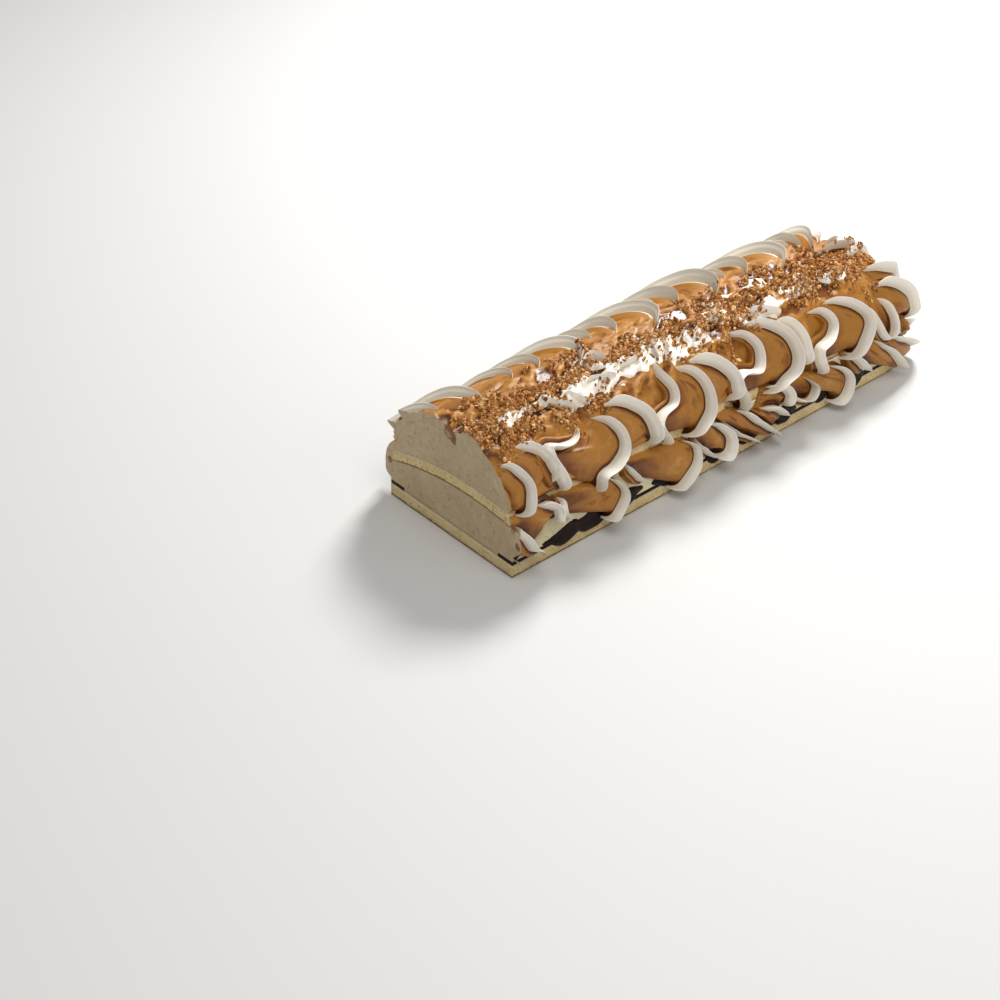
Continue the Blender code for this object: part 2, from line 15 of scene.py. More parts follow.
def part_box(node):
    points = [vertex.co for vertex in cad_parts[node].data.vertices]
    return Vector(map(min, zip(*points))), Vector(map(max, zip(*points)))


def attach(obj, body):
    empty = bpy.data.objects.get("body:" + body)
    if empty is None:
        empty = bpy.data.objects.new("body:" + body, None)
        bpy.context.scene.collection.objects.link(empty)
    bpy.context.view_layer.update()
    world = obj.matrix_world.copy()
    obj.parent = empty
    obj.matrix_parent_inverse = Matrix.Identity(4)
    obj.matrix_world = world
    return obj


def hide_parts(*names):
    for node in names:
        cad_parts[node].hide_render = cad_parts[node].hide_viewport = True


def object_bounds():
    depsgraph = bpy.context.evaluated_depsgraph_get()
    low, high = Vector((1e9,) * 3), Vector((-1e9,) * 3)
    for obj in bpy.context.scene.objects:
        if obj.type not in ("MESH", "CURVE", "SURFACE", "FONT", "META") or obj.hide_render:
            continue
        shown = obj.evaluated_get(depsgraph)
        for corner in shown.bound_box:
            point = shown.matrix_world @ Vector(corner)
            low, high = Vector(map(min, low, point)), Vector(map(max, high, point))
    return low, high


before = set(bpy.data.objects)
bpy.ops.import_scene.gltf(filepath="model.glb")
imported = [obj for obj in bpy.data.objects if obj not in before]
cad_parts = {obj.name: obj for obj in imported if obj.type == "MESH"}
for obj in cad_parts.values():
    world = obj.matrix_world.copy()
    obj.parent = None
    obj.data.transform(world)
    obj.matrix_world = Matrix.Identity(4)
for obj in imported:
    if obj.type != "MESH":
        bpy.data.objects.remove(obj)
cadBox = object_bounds()
cm = 0.01

spongeLow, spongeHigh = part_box("base_sponge")
cakeOrigin = np.array((spongeLow.x, (spongeLow.y + spongeHigh.y) / 2, spongeLow.z))  # middle of the cut face's foot

core = {
    "length": 45.0,
    "halfWidth": 6.5,
    "height": 8.5,
    "sectionPower": 2.7,  # superellipse across the cake
    "planPower": 5.0,  # superellipse of the far end, from above
    "turnRadius": 7.5,  # along which places round the far end are counted
}
straightLength = core["length"] - core["halfWidth"]

# The core's side as a table: distance down from the crest, reach and height
sectionAngle = np.linspace(0, math.pi / 2, 600)
sectionReach = core["halfWidth"] * np.sin(sectionAngle) ** (2 / core["sectionPower"])
sectionHeight = core["height"] * np.cos(sectionAngle).clip(0) ** (2 / core["sectionPower"])
sectionDown = np.concatenate(([0.0], np.hypot(np.diff(sectionReach), np.diff(sectionHeight)).cumsum()))
footDown = sectionDown[-1]


def coreSide(down):
    reach = np.sign(down) * np.interp(np.abs(down), sectionDown, sectionReach)
    return reach, np.interp(np.abs(down), sectionDown, sectionHeight)


def coverPoints(along, down, lift, side):
    # where places on the cake are, in metres; side is -1 for the front and 1 for the back
    step = 0.15
    reach, height = coreSide(down)
    low = np.minimum(down + step, footDown)
    lowReach, lowHeight = coreSide(low)
    highReach, highHeight = coreSide(low - 2 * step)
    slope = np.hypot(lowReach - highReach, lowHeight - highHeight)
    outward = (highHeight - lowHeight) / slope
    upward = (lowReach - highReach) / slope
    turn = np.maximum(along - straightLength, 0) / core["turnRadius"]
    power = core["planPower"]
    squareness = (np.abs(np.cos(turn)) ** power + np.abs(np.sin(turn)) ** power) ** (-1 / power)
    distance = reach * squareness + outward * lift
    x = np.minimum(along, straightLength) + distance * np.sin(turn)
    y = side * distance * np.cos(turn)
    return np.stack((x, y, height + upward * lift), axis=-1) * cm + cakeOrigin


def smoothStep(low, high, value):
    part = np.clip((value - low) / (high - low), 0, 1)
    return part * part * (3 - 2 * part)


def noiseAt(points, scale, seed=0.0):
    # smooth noise from -1 to 1 at rows of two or three numbers
    padded = [tuple(point) + (0.0,) * (3 - len(point)) for point in points]
    return np.array([noise.noise(Vector(point) * scale + Vector((seed, seed * 1.7, seed * 0.3))) for point in padded])


def asMesh(made, name):
    # the mesh of a bmesh that is done with
    mesh = bpy.data.meshes.new(name)
    made.to_mesh(mesh)
    made.free()
    return mesh


def addPiece(name, mesh, *materials):
    piece = bpy.data.objects.new(name, mesh)
    bpy.context.scene.collection.objects.link(piece)
    for material in materials:
        mesh.materials.append(material)
    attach(piece, "root")
    return piece


# the cream's layers: its white, the darkness of its pockets from pooled caramel and painted shade, and the height share
# that sets the white's painted light
creamLayers = ("whiteness", "poolAndShade", "rise")
sheetNumber = itertools.cycle(range(12))  # neighbouring sheets end at slightly different depths


def bentSheet(into, columns, rows, shape, side, thickness=0.6):
    # a flat grid is doubled and bent over the core, with its top where shape says and its underside inside the core
    sheet = bmesh.new()
    bmesh.ops.create_grid(sheet, x_segments=columns, y_segments=rows, size=0.5)
    top = bmesh.ops.extrude_face_region(sheet, geom=sheet.faces[:])
    upper = {part for part in top["geom"] if isinstance(part, bmesh.types.BMVert)}
    sheet.verts.ensure_lookup_table()
    across = np.array([v.co.x + 0.5 for v in sheet.verts])
    onward = np.array([v.co.y + 0.5 for v in sheet.verts])
    isTop = np.array([v in upper for v in sheet.verts])
    made = shape(across, onward)
    lift = np.where(isTop, made["lift"], -thickness)
    points = coverPoints(made["along"], made["down"], lift, side)
    for v, point in zip(sheet.verts, points):
        v.co = point
    flow = sheet.verts.layers.float_vector.new("flow")
    for v, value in zip(sheet.verts, made["flow"]):
        v[flow] = value
    for name in creamLayers:
        layer = sheet.verts.layers.float.new(name)
        for v, value in zip(sheet.verts, made[name]):
            v[layer] = value
    if sheet.calc_volume(signed=True) < 0:
        bmesh.ops.reverse_faces(sheet, faces=sheet.faces)
    for face in sheet.faces:
        face.smooth = True
    trimAtCut(sheet)
    mesh = asMesh(sheet, "sheet")
    into.from_mesh(mesh)
    bpy.data.meshes.remove(mesh)


cut = {
    "behind": 0.002,  # in cm, the piping's cut behind the layers'
    "apart": 0.001,  # between the cuts of neighbouring sheets
    "grain": 0.03,  # roughness of the layers' cut
}


def trimAtCut(sheet):
    # cuts a closed sheet off at the cut face and closes it there with the second material
    plane = Vector(cakeOrigin)
    plane.x += (cut["behind"] + cut["apart"] * next(sheetNumber)) * cm
    parts = sheet.verts[:] + sheet.edges[:] + sheet.faces[:]
    split = bmesh.ops.bisect_plane(sheet, geom=parts, plane_co=plane, plane_no=(-1, 0, 0), clear_outer=True)
    edges = [part for part in split["geom_cut"] if isinstance(part, bmesh.types.BMEdge)]
    if not edges:
        return
    caps = bmesh.ops.edgeloop_fill(sheet, edges=edges, mat_nr=1, use_smooth=False)["faces"]
    for face in caps:
        face.normal_update()
        if face.normal.x > 0:
            face.normal_flip()


def finishCream(made, name, slots):
    lowest = cakeOrigin[2] + piping["lowest"] * cm
    for v in made.verts:
        v.co.z = max(v.co.z, lowest)
    mesh = asMesh(made, name)
    mesh.set_sharp_from_angle(angle=math.radians(piping["sharpAngle"]))
    piece = addPiece(name, mesh, *slots)
    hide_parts("piped_cream")
    print(name, sum(len(p.vertices) - 2 for p in mesh.polygons), "triangles")
    return piece


# A piped shell is a fan of ribbons with valleys of caramel between them
piping = {
    "valleyShare": 0.42,  # a valley's height next to its ribbon's
    "width": 0.52,  # of every ribbon, next to the half widths below
    "tongue": 0.1,  # how much further a ribbon runs than the valleys beside it
    "rowsUpper": 76,
    "rowsLower": 60,
    "wobble": 0.09,
    "unevenWidth": 0.16,
    "unevenHeight": 0.07,
    "rills": 0.06,  # height of the fine folds in the valleys
    "slim": 0.12,  # what a ribbon's end keeps of its width and height
    "thinTail": (0.85, 0.72),  # what a narrowing ribbon's tail loses of its width, and where that starts
    "broadTail": (0.6, 0.82),
    "roundedFrom": 0.88,  # where along a shell its rounded tail starts
    "roundedLength": 0.1202,  # a hair over what is left, which keeps the root below real
    "wallPaintedLight": 0.3,  # painted light: how bright a broad wall's ribbons are next to a lip's, which keeps the walls in painted shade
    "lobeLift": 1.52,  # of the front lobes
    "sharpAngle": 65,
    "lowest": 0.1,  # height of the lowest cream over the foot
}
# A fan's two edges sink into the core: how far up their columns are, their reach and how dark their pockets are, from
# pooled caramel and painted shade
fanEdge = {"steps": (0.0, 0.3, 0.55, 0.8), "reach": (1.2, 0.8), "poolAndShade": (0.4, 0.8)}
valleyColumns = 8

# Across a ribbon, towards the far end: (offset in half widths, height from valley 0 to lip 1, whiteness, pocket
# darkness from pooled caramel and painted shade). The height also sets the white's painted light: painted shade low,
# lit white at the lip
ribbonSection = [
    (-2.9, 0.36, 0.0, 0.25),
    (-2.3, 0.38, 0.0, 0.5),
    (-1.7, 0.34, 0.0, 0.8),
    (-1.3, 0.28, 0.0, 1.0),
    (-1.08, 0.36, 0.6, 0.6),
    (-0.9, 0.5, 1.0, 0.0),
    (-0.62, 0.67, 1.0, 0.0),
    (-0.25, 0.8, 1.0, 0.0),
    (0.08, 0.9, 1.0, 0.0),
    (0.3, 1.02, 1.0, 0.0),
    (0.48, 1.14, 1.0, 0.0),
    (0.66, 1.18, 1.0, 0.0),
    (0.82, 1.1, 1.0, 0.0),
    (0.9, 0.92, 1.0, 0.0),
    (0.86, 0.62, 1.0, 0.2),
    (0.8, 0.3, 0.5, 0.8),
    (0.92, 0.0, 0.0, 1.0),
    (1.35, -0.15, 0.0, 1.0),
    (1.9, -0.18, 0.0, 1.0),
]
wallStart = -2.5  # where the whiteness of a broad wall starts, in half widths

# A shell is a list of ribbons from left to right. A ribbon is (places it runs through as (along, down),
# half width at its start and end, height next to the shell's).
frontShells = [
    {
        "lift": 1.55,
        "ribbons": [
            ([(-1.6, 4.4), (-0.7, 5.3), (-0.4, 6.2), (-0.9, 7.3)], 0.3, 0.3, 0.85),
            ([(0.1, 4.0), (1.1, 4.8), (1.55, 5.9), (1.25, 7.0), (0.5, 7.7)], 0.42, 0.3, 1.0),
            ([(1.7, 3.6), (3.1, 4.1), (3.85, 5.0), (3.95, 5.9), (3.6, 6.6)], 0.45, 0.42, 1.0),
        ],
    },
    {
        "lift": 1.75,
        "ribbons": [
            ([(7.8, 3.7), (7.0, 4.7), (5.6, 4.95), (4.3, 4.6), (3.95, 5.2), (4.2, 6.1), (4.6, 7.5)], 0.3, 0.6, 0.95),
            ([(8.6, 3.9), (10.0, 4.7), (10.5, 5.7), (10.2, 6.6), (9.0, 7.2), (7.6, 7.6), (7.6, 8.7)], 0.5, 0.3, 1.0),
            ([(10.1, 3.7), (11.8, 4.1), (13.0, 5.1), (13.4, 6.1), (13.2, 7.4)], 0.5, 0.55, 1.0),
        ],
    },
    {
        "lift": 1.8,
        "ribbons": [
            (
                [(17.6, 2.2), (16.3, 3.3), (16.35, 4.8), (15.7, 5.6), (14.2, 5.8), (13.7, 6.5), (14.8, 8.0)],
                0.35,
                0.3,
                0.95,
            ),
            ([(17.4, 3.3), (18.9, 4.4), (19.35, 5.6), (18.9, 6.8), (17.7, 7.6), (16.8, 8.2)], 0.42, 0.3, 1.0),
            ([(18.9, 3.5), (20.6, 4.1), (21.8, 5.3), (22.1, 6.3), (21.6, 7.2)], 0.5, 0.55, 1.0),
        ],
    },
    {
        "lift": 1.85,
        "ribbons": [
            (
                [
                    (23.2, 2.9), (25.0, 3.6), (25.6, 4.9), (24.6, 6.0),
                    (23.0, 5.8), (22.1, 6.1), (22.4, 7.3), (22.8, 8.5),
                ],
                0.38,
                0.36,
                0.95,
            ),
            (
                [(25.2, 2.9), (27.2, 3.6), (28.6, 4.8), (28.9, 6.1), (28.3, 7.1), (26.8, 7.5), (25.6, 8.1)],
                0.42,
                0.4,
                1.0,
            ),
            ([(28.4, 3.6), (29.7, 4.4), (29.95, 5.8), (29.8, 7.3)], 0.42, 0.45, 0.95),
        ],
    },
    {
        "lift": 1.8,
        "ribbons": [
            (
                [(31.6, 4.1), (33.3, 4.6), (33.9, 5.5), (33.0, 6.3), (31.5, 6.7), (31.4, 7.6), (32.0, 8.8)],
                0.35,
                0.5,
                0.9,
            ),
            ([(33.4, 4.0), (35.6, 4.5), (37.1, 5.7), (37.4, 6.7), (36.4, 7.7), (34.9, 8.6)], 0.42, 0.35, 1.0),
        ],
    },
    {
        "lift": 1.65,
        "ribbons": [
            (
                [(37.6, 4.8), (38.6, 6.2), (39.2, 7.8), (39.9, 8.5), (40.7, 8.2), (40.9, 7.0), (40.5, 5.4)],
                0.32,
                0.3,
                0.85,
            ),
            ([(40.7, 4.6), (42.6, 4.9), (43.9, 6.2), (44.4, 7.4), (44.3, 8.7)], 0.5, 0.5, 1.0),
            ([(42.0, 3.0), (44.8, 4.6), (46.4, 6.2), (47.2, 8.0)], 0.5, 0.5, 1.0),
            ([(43.0, 1.6), (46.8, 2.8), (49.2, 5.2), (49.8, 7.6)], 0.5, 0.45, 0.95),
        ],
    },
]
frontLobes = [
    [
        ([(-2.4, 7.6), (-1.8, 8.8), (-1.0, 10.0), (0.2, 11.0)], 0.35, 0.25, 0.9),
        ([(-0.5, 7.6), (0.2, 8.7), (0.9, 9.8), (1.9, 10.7)], 0.55, 0.42, 1.0),
        ([(1.9, 7.5), (3.2, 7.8), (3.7, 8.5), (3.3, 9.1)], 0.5, 0.5, 0.9),
    ],
    [
        ([(3.9, 7.5), (4.3, 8.0), (4.2, 8.6), (4.6, 9.6)], 0.35, 0.2, 0.7),
        ([(8.2, 7.8), (9.2, 8.4), (9.7, 9.3), (9.3, 10.3), (8.3, 11.2)], 0.3, 0.22, 1.0),
    ],
    [
        ([(10.4, 7.6), (10.9, 8.4), (11.4, 9.1), (12.4, 9.8)], 0.4, 0.2, 0.75),
        ([(16.0, 8.0), (17.2, 8.8), (17.2, 9.9), (16.4, 10.8), (15.1, 11.7)], 0.3, 0.25, 1.0),
    ],
    [
        ([(17.6, 8.3), (17.9, 9.2), (18.6, 9.9), (19.2, 10.6)], 0.3, 0.3, 0.8),
        ([(18.4, 7.8), (20.0, 8.4), (20.9, 9.5), (20.8, 10.6), (19.9, 11.0)], 0.4, 0.55, 1.0),
    ],
    [
        ([(20.2, 7.9), (21.4, 9.2), (23.0, 10.4), (25.0, 11.7)], 0.3, 0.25, 0.85),
        ([(21.6, 7.7), (23.4, 8.9), (25.2, 10.4), (27.0, 12.0)], 0.45, 0.25, 1.0),
        ([(24.6, 8.9), (26.2, 9.3), (27.6, 10.4)], 0.45, 0.45, 0.9),
        ([(25.4, 7.6), (27.0, 7.9), (27.8, 8.8), (27.5, 9.7)], 0.45, 0.55, 0.9),
    ],
    [
        ([(26.9, 7.7), (27.8, 8.8), (29.2, 9.8), (30.3, 9.9), (30.7, 9.2), (30.2, 8.4)], 0.28, 0.28, 0.95),
        ([(32.6, 8.2), (34.2, 9.0), (34.9, 10.2), (34.4, 11.3), (33.4, 11.7)], 0.32, 0.35, 1.0),
    ],
    [
        ([(34.9, 7.9), (36.0, 8.8), (36.8, 9.6), (37.6, 10.4)], 0.55, 0.4, 0.9),
        ([(38.2, 8.0), (39.8, 9.2), (41.2, 10.7), (42.3, 12.1)], 0.3, 0.25, 1.0),
        ([(40.4, 8.4), (42.2, 9.4), (43.8, 10.6), (45.4, 11.9)], 0.45, 0.35, 0.95),
    ],
    [
        ([(43.4, 8.2), (44.4, 9.0), (45.6, 10.2), (46.2, 11.6)], 0.4, 0.35, 0.9),
        ([(45.2, 7.9), (46.6, 8.8), (47.6, 10.2), (48.0, 11.5)], 0.4, 0.35, 1.0),
        ([(47.1, 7.8), (48.2, 8.8), (48.8, 10.2), (48.9, 11.2)], 0.4, 0.35, 0.9),
        ([(49.0, 7.8), (49.9, 8.8), (50.3, 10.2), (50.2, 11.2)], 0.4, 0.35, 0.9),
    ],
]
backShell = [
    ([(-4.4, 1.4), (-3.2, 2.6), (-3.6, 4.8), (-5.6, 6.6), (-7.6, 7.9)], 0.5, 0.45, 0.78),
    ([(-2.6, 0.9), (-0.9, 2.2), (-0.9, 4.4), (-3.2, 6.6), (-6.2, 7.9)], 0.55, 0.45, 0.88),
    ([(0.2, -0.4), (2.6, 1.4), (2.4, 3.6), (-0.2, 6.0), (-4.4, 7.6)], 0.75, 0.5, 1.0),
]
# Where a back shell is repeated: (place along, bend, lift)
backRow = [
    (2.6, 0.6, 1.2),
    (11.1, 1.0, 1.35),
    (19.0, 1.0, 1.55),
    (25.9, 0.9, 1.9),
    (33.6, 1.0, 1.65),
    (41.5, 0.9, 1.6),
    (50.0, 0.6, 1.6),
]
backLobe = [
    ([(0.2, 7.6), (0.6, 8.6), (0.9, 9.6), (1.4, 10.6)], 0.35, 0.3, 0.8),
    ([(3.9, 7.4), (5.6, 8.4), (6.0, 10.0), (4.6, 11.8)], 0.45, 0.4, 1.0),
    ([(6.4, 7.7), (7.7, 8.4), (8.1, 9.8), (7.3, 11.2)], 0.45, 0.45, 0.9),
]
backLobeRow = [
    (-4.0, 1.0, 1.5),
    (4.2, 1.3, 1.55),
    (12.6, 0.7, 1.45),
    (20.6, 1.2, 1.6),
    (28.9, 0.8, 1.5),
    (35.6, 1.1, 1.55),
    (41.8, 0.8, 1.5),
]
crestStreaks = [
    ([(6.6, 2.0), (7.6, 2.7), (8.4, 3.4)], 0.3, 0.15),
    ([(8.2, 1.9), (8.9, 2.7), (9.6, 3.5)], 0.35, 0.15),
    ([(10.4, 1.9), (12.0, 2.2), (13.2, 2.6)], 0.4, 0.2),
    ([(12.4, 1.2), (12.2, 0.4), (13.4, 0.0), (13.9, 1.0)], 0.3, 0.25),
    ([(13.8, 2.0), (15.0, 2.1), (16.6, 1.9)], 0.35, 0.3),
    ([(17.0, 3.0), (17.6, 2.0), (18.0, 1.0)], 0.35, 0.15),
    ([(18.2, 3.0), (18.7, 2.0), (19.3, 0.8)], 0.35, 0.15),
    ([(20.6, 2.9), (21.6, 2.4), (22.6, 2.0)], 0.4, 0.2),
    ([(23.6, 1.9), (24.8, 1.4), (26.0, 0.9)], 0.35, 0.15),
    ([(27.2, 2.4), (28.4, 2.8), (29.8, 3.6)], 0.5, 0.4),
    ([(32.2, 2.9), (33.4, 2.4), (34.4, 2.1)], 0.3, 0.2),
    ([(35.6, 2.8), (36.8, 2.7), (38.0, 2.6)], 0.3, 0.2),
]


def placedRibbons(ribbons, place, bend):
    # a shell's ribbons from the common ones; bend scales how far they bow from a straight run
    placed = []
    for path, start, end, rise in ribbons:
        path = np.array(path, float) + (place, 0)
        straight = np.linspace(path[0], path[-1], len(path))
        placed.append((straight + (path - straight) * bend, start, end, rise))
    return placed


def smoothed(controls, samples):
    # a Catmull-Rom line through rows of numbers
    controls = np.array(controls, float)
    padded = np.vstack((2 * controls[0] - controls[1], controls, 2 * controls[-1] - controls[-2]))
    found = []
    for s in np.linspace(0, len(controls) - 1, samples):
        i = min(int(s), len(controls) - 2)
        u = s - i
        p0, p1, p2, p3 = padded[i : i + 4]
        square = (2 * p0 - 5 * p1 + 4 * p2 - p3) * u**2
        cube = (3 * p1 - p0 - 3 * p2 + p3) * u**3
        found.append(0.5 * (2 * p1 + (p2 - p0) * u + square + cube))
    return np.array(found)


def ribbonPath(path, t):
    # places along a ribbon at equal steps of its length, and the direction across it
    line = smoothed(path, 160)
    run = np.concatenate(([0.0], np.linalg.norm(np.diff(line, axis=0), axis=1).cumsum()))
    run /= run[-1]
    place = np.stack([np.interp(t, run, line[:, k]) for k in (0, 1)], axis=1)
    step = 0.03
    ahead = np.stack([np.interp(np.minimum(t + step, 1), run, line[:, k]) for k in (0, 1)], axis=1)
    behind = np.stack([np.interp(np.maximum(t - step, 0), run, line[:, k]) for k in (0, 1)], axis=1)
    way = (ahead - behind) / np.linalg.norm(ahead - behind, axis=1)[:, None]
    return place, np.stack((way[:, 1], -way[:, 0]), axis=1)


sectionSamples = smoothed(ribbonSection, 24)


def fanColumns(count):
    # each column: (ribbon, offset, next ribbon, its offset, part of the way there, height, whiteness, pocket darkness
    # from pooled caramel and painted shade, sunk)
    columns = []
    first, last = sectionSamples[0], sectionSamples[-1]
    for part in fanEdge["steps"]:
        offset = first[0] - fanEdge["reach"][0] * (1 - part)
        columns.append((0, offset, 0, 0, 0, first[1], 0, fanEdge["poolAndShade"][0], 1 - part))
    for i in range(count):
        for offset, share, white, poolAndShade in sectionSamples:
            columns.append((i, offset, i, offset, 0, share, white, poolAndShade, 0))
        if i + 1 < count:
            for part in np.linspace(0, 1, valleyColumns + 2)[1:-1]:
                share = last[1] + (first[1] - last[1]) * part**0.8
                poolAndShade = (1 - part) ** 1.5 + 0.25 * part**3
                columns.append((i, last[0], i + 1, first[0], part, share, 0, poolAndShade, 0))
    for part in fanEdge["steps"][::-1]:
        offset = last[0] + fanEdge["reach"][1] * (1 - part)
        columns.append((count - 1, offset, 0, 0, 0, last[1], 0, fanEdge["poolAndShade"][1], 1 - part))
    return columns


def fullness(t, low=0.5):
    # how far a shell stands out along its length: low at the crest, full towards its tail, with rounded ends
    tail = np.maximum(t - piping["roundedFrom"], 0) / piping["roundedLength"]
    ends = np.sqrt(1 - tail**2) * smoothStep(-0.1, 0.22, t)
    slim = piping["slim"]
    return (low + (1 - low) * smoothStep(-0.1, 0.6, t)) * (slim + (1 - slim) * ends)


def pipeShell(into, ribbons, lift, side, rows, seed, low, allWhite=0.0, wall=False):
    columns = fanColumns(len(ribbons))

    def shape(across, onward):
        column = np.round(across * (len(columns) - 1)).astype(int)
        table = np.array(columns, float)[column].T
        ribbon, offset, nextRibbon, nextOffset, between, share, white, pooledAndShaded, sunk = table
        centred = np.where(between > 0, 2.0, np.abs(offset - 0.1) / 1.7)
        tongue = np.sqrt(np.clip(1 - centred**2, 0, 1))
        t = onward * (1 - piping["tongue"] * (1 - tongue)) + 0.04 * (1 - tongue) * (1 - onward)
        place = np.zeros((len(t), 2))
        rise = np.zeros(len(t))
        for i, (path, start, end, height) in enumerate(ribbons):
            line, aside = ribbonPath(path, t)
            loss, tailStart = piping["thinTail"] if end <= start else piping["broadTail"]
            taper = 1 - loss * smoothStep(tailStart, 1.0, t)
            swell = noiseAt(np.stack((t * 3, np.full(len(t), 3.0 * i)), axis=1), 1.0, seed + 5)
            uneven = 1 + piping["unevenWidth"] * swell
            taper = taper * (piping["slim"] + (1 - piping["slim"]) * smoothStep(0.02, 0.36, t))
            width = piping["width"] * (start + (end - start) * t) * taper * uneven
            mine = (ribbon == i) * (1 - between)
            theirs = ((nextRibbon == i) & (between > 0)) * between
            place += (line + aside * (offset * width)[:, None]) * mine[:, None]
            place += (line + aside * (nextOffset * width)[:, None]) * theirs[:, None]
            rise += height * (mine + theirs)
        along = np.stack((t * 5, ribbon * 7), axis=1)
        place[:, 0] += piping["wobble"] * noiseAt(along, 1.0, seed)
        place[:, 1] += piping["wobble"] * noiseAt(along, 1.0, seed + 9)
        full = lift * rise * fullness(onward, low) * (1 + piping["unevenHeight"] * noiseAt(along, 0.8, seed + 4))
        valley = full * piping["valleyShare"] * (1 - 0.35 * onward**3)
        height = valley + (full - valley) * share
        rills = noiseAt(np.stack((column * 0.5, t * 1.5), axis=1), 1.0, seed + 2)
        height += piping["rills"] * rills * (white < 0.5) * fullness(t)
        bare = noiseAt(np.stack((column * 0.3, t * 6), axis=1), 1.0, seed + 6)
        shown = np.maximum(smoothStep(0.03, 0.17, t + 0.06 * bare), allWhite)
        white = np.maximum(white, allWhite)
        if wall:
            onWall = (between == 0) & (offset < 0) & (sunk == 0)
            white = np.maximum(white, onWall * smoothStep(wallStart, wallStart + 0.3, offset))
        height = height * (1 - sunk) - 0.3 * sunk
        # how dark the caramel is in pockets and towards the shell's tail: partly pooled caramel, partly painted shade
        poolAndShade = pooledAndShaded * smoothStep(0.05, 0.3, t) + 0.25 * smoothStep(0.75, 1.0, onward)
        return {
            "along": place[:, 0],
            "down": place[:, 1],
            "lift": height,
            "whiteness": white * shown,
            "poolAndShade": poolAndShade,
            # rise sets the white's painted light: painted shade low on a ribbon, lit white at its lip
            "rise": smoothStep(0.5, 1.08, share) * (piping["wallPaintedLight"] if wall else 1.0),
            "flow": np.stack((column * 0.19, t * 1.6, np.full(len(t), seed)), axis=1),
        }

    bentSheet(into, len(columns) - 1, rows, shape, side)


def pipeRow(name, shells, side, rows, seed, slots, low=0.5, wall=False):
    made = bmesh.new()
    for i, shell in enumerate(shells):
        pipeShell(made, shell["ribbons"], shell["lift"], side, rows, seed + 3.1 * i, low, wall=wall)
    return finishCream(made, name, slots)


def placedShells(shell, row):
    return [{"lift": lift, "ribbons": placedRibbons(shell, place, bend)} for place, bend, lift in row]


# The crest is rough torn cream along the top, over the coat that lies under the shells
crest = {
    "columns": 116,
    "rows": 300,
    "start": -1.5,
    "longer": 2.6,  # than the cake's straight part
    "fine": (0.4, 4.6),  # share of the columns from the middle, and how far down they reach
    "coarse": (0.1, 2.9),  # the rest of them, and how far on they reach
    "roughness": 0.45,
    "peaks": 0.3,
    "drifts": 0.5,
}
farCoat = {"columns": 24, "rows": 60, "down": (0.4, 7.1), "turn": math.pi * 1.1, "before": 0.16, "lift": 0.52}
streak = {"lift": 1.3, "rows": 26, "seed": 70, "white": 0.9}
sunkLift = -0.3  # of a sheet's rim, inside the core
# Across the top, from the back to the front: (down, lift, how rough)
crestProfile = [
    (-7.5, -0.3, 0.0),
    (-7.0, 0.5, 0.0),
    (-5.0, 0.5, 0.05),
    (-3.4, 0.6, 0.15),
    (-2.0, 0.75, 0.45),
    (-1.0, 0.8, 0.8),
    (0.3, 0.5, 0.8),
    (1.6, 0.95, 1.2),
    (2.8, 0.85, 0.9),
    (4.0, 0.7, 0.5),
    (5.0, 0.5, 0.1),
    (7.0, 0.5, 0.0),
    (7.5, -0.3, 0.0),
]
# Drifts of white on the crest: (place along, down, reach along, reach down)
whiteDrifts = [
    (2.8, 1.8, 1.2, 0.6),
    (6.4, 1.9, 1.8, 0.4),
    (9.2, 2.5, 1.4, 0.8),
    (11.6, 2.3, 1.9, 0.75),
    (15.0, 2.2, 1.8, 0.65),
    (18.4, 1.8, 1.2, 1.2),
    (21.6, 2.3, 1.1, 0.7),
    (24.8, 1.5, 1.5, 0.7),
    (28.2, 2.7, 1.8, 0.7),
    (33.2, 2.4, 1.5, 0.6),
    (36.8, 2.6, 1.4, 0.5),
    (13.0, 0.7, 0.9, 0.8),
    (26.5, 0.2, 1.2, 0.6),
    (31.0, 0.4, 1.0, 0.6),
    (39.6, 1.4, 0.9, 0.7),
]


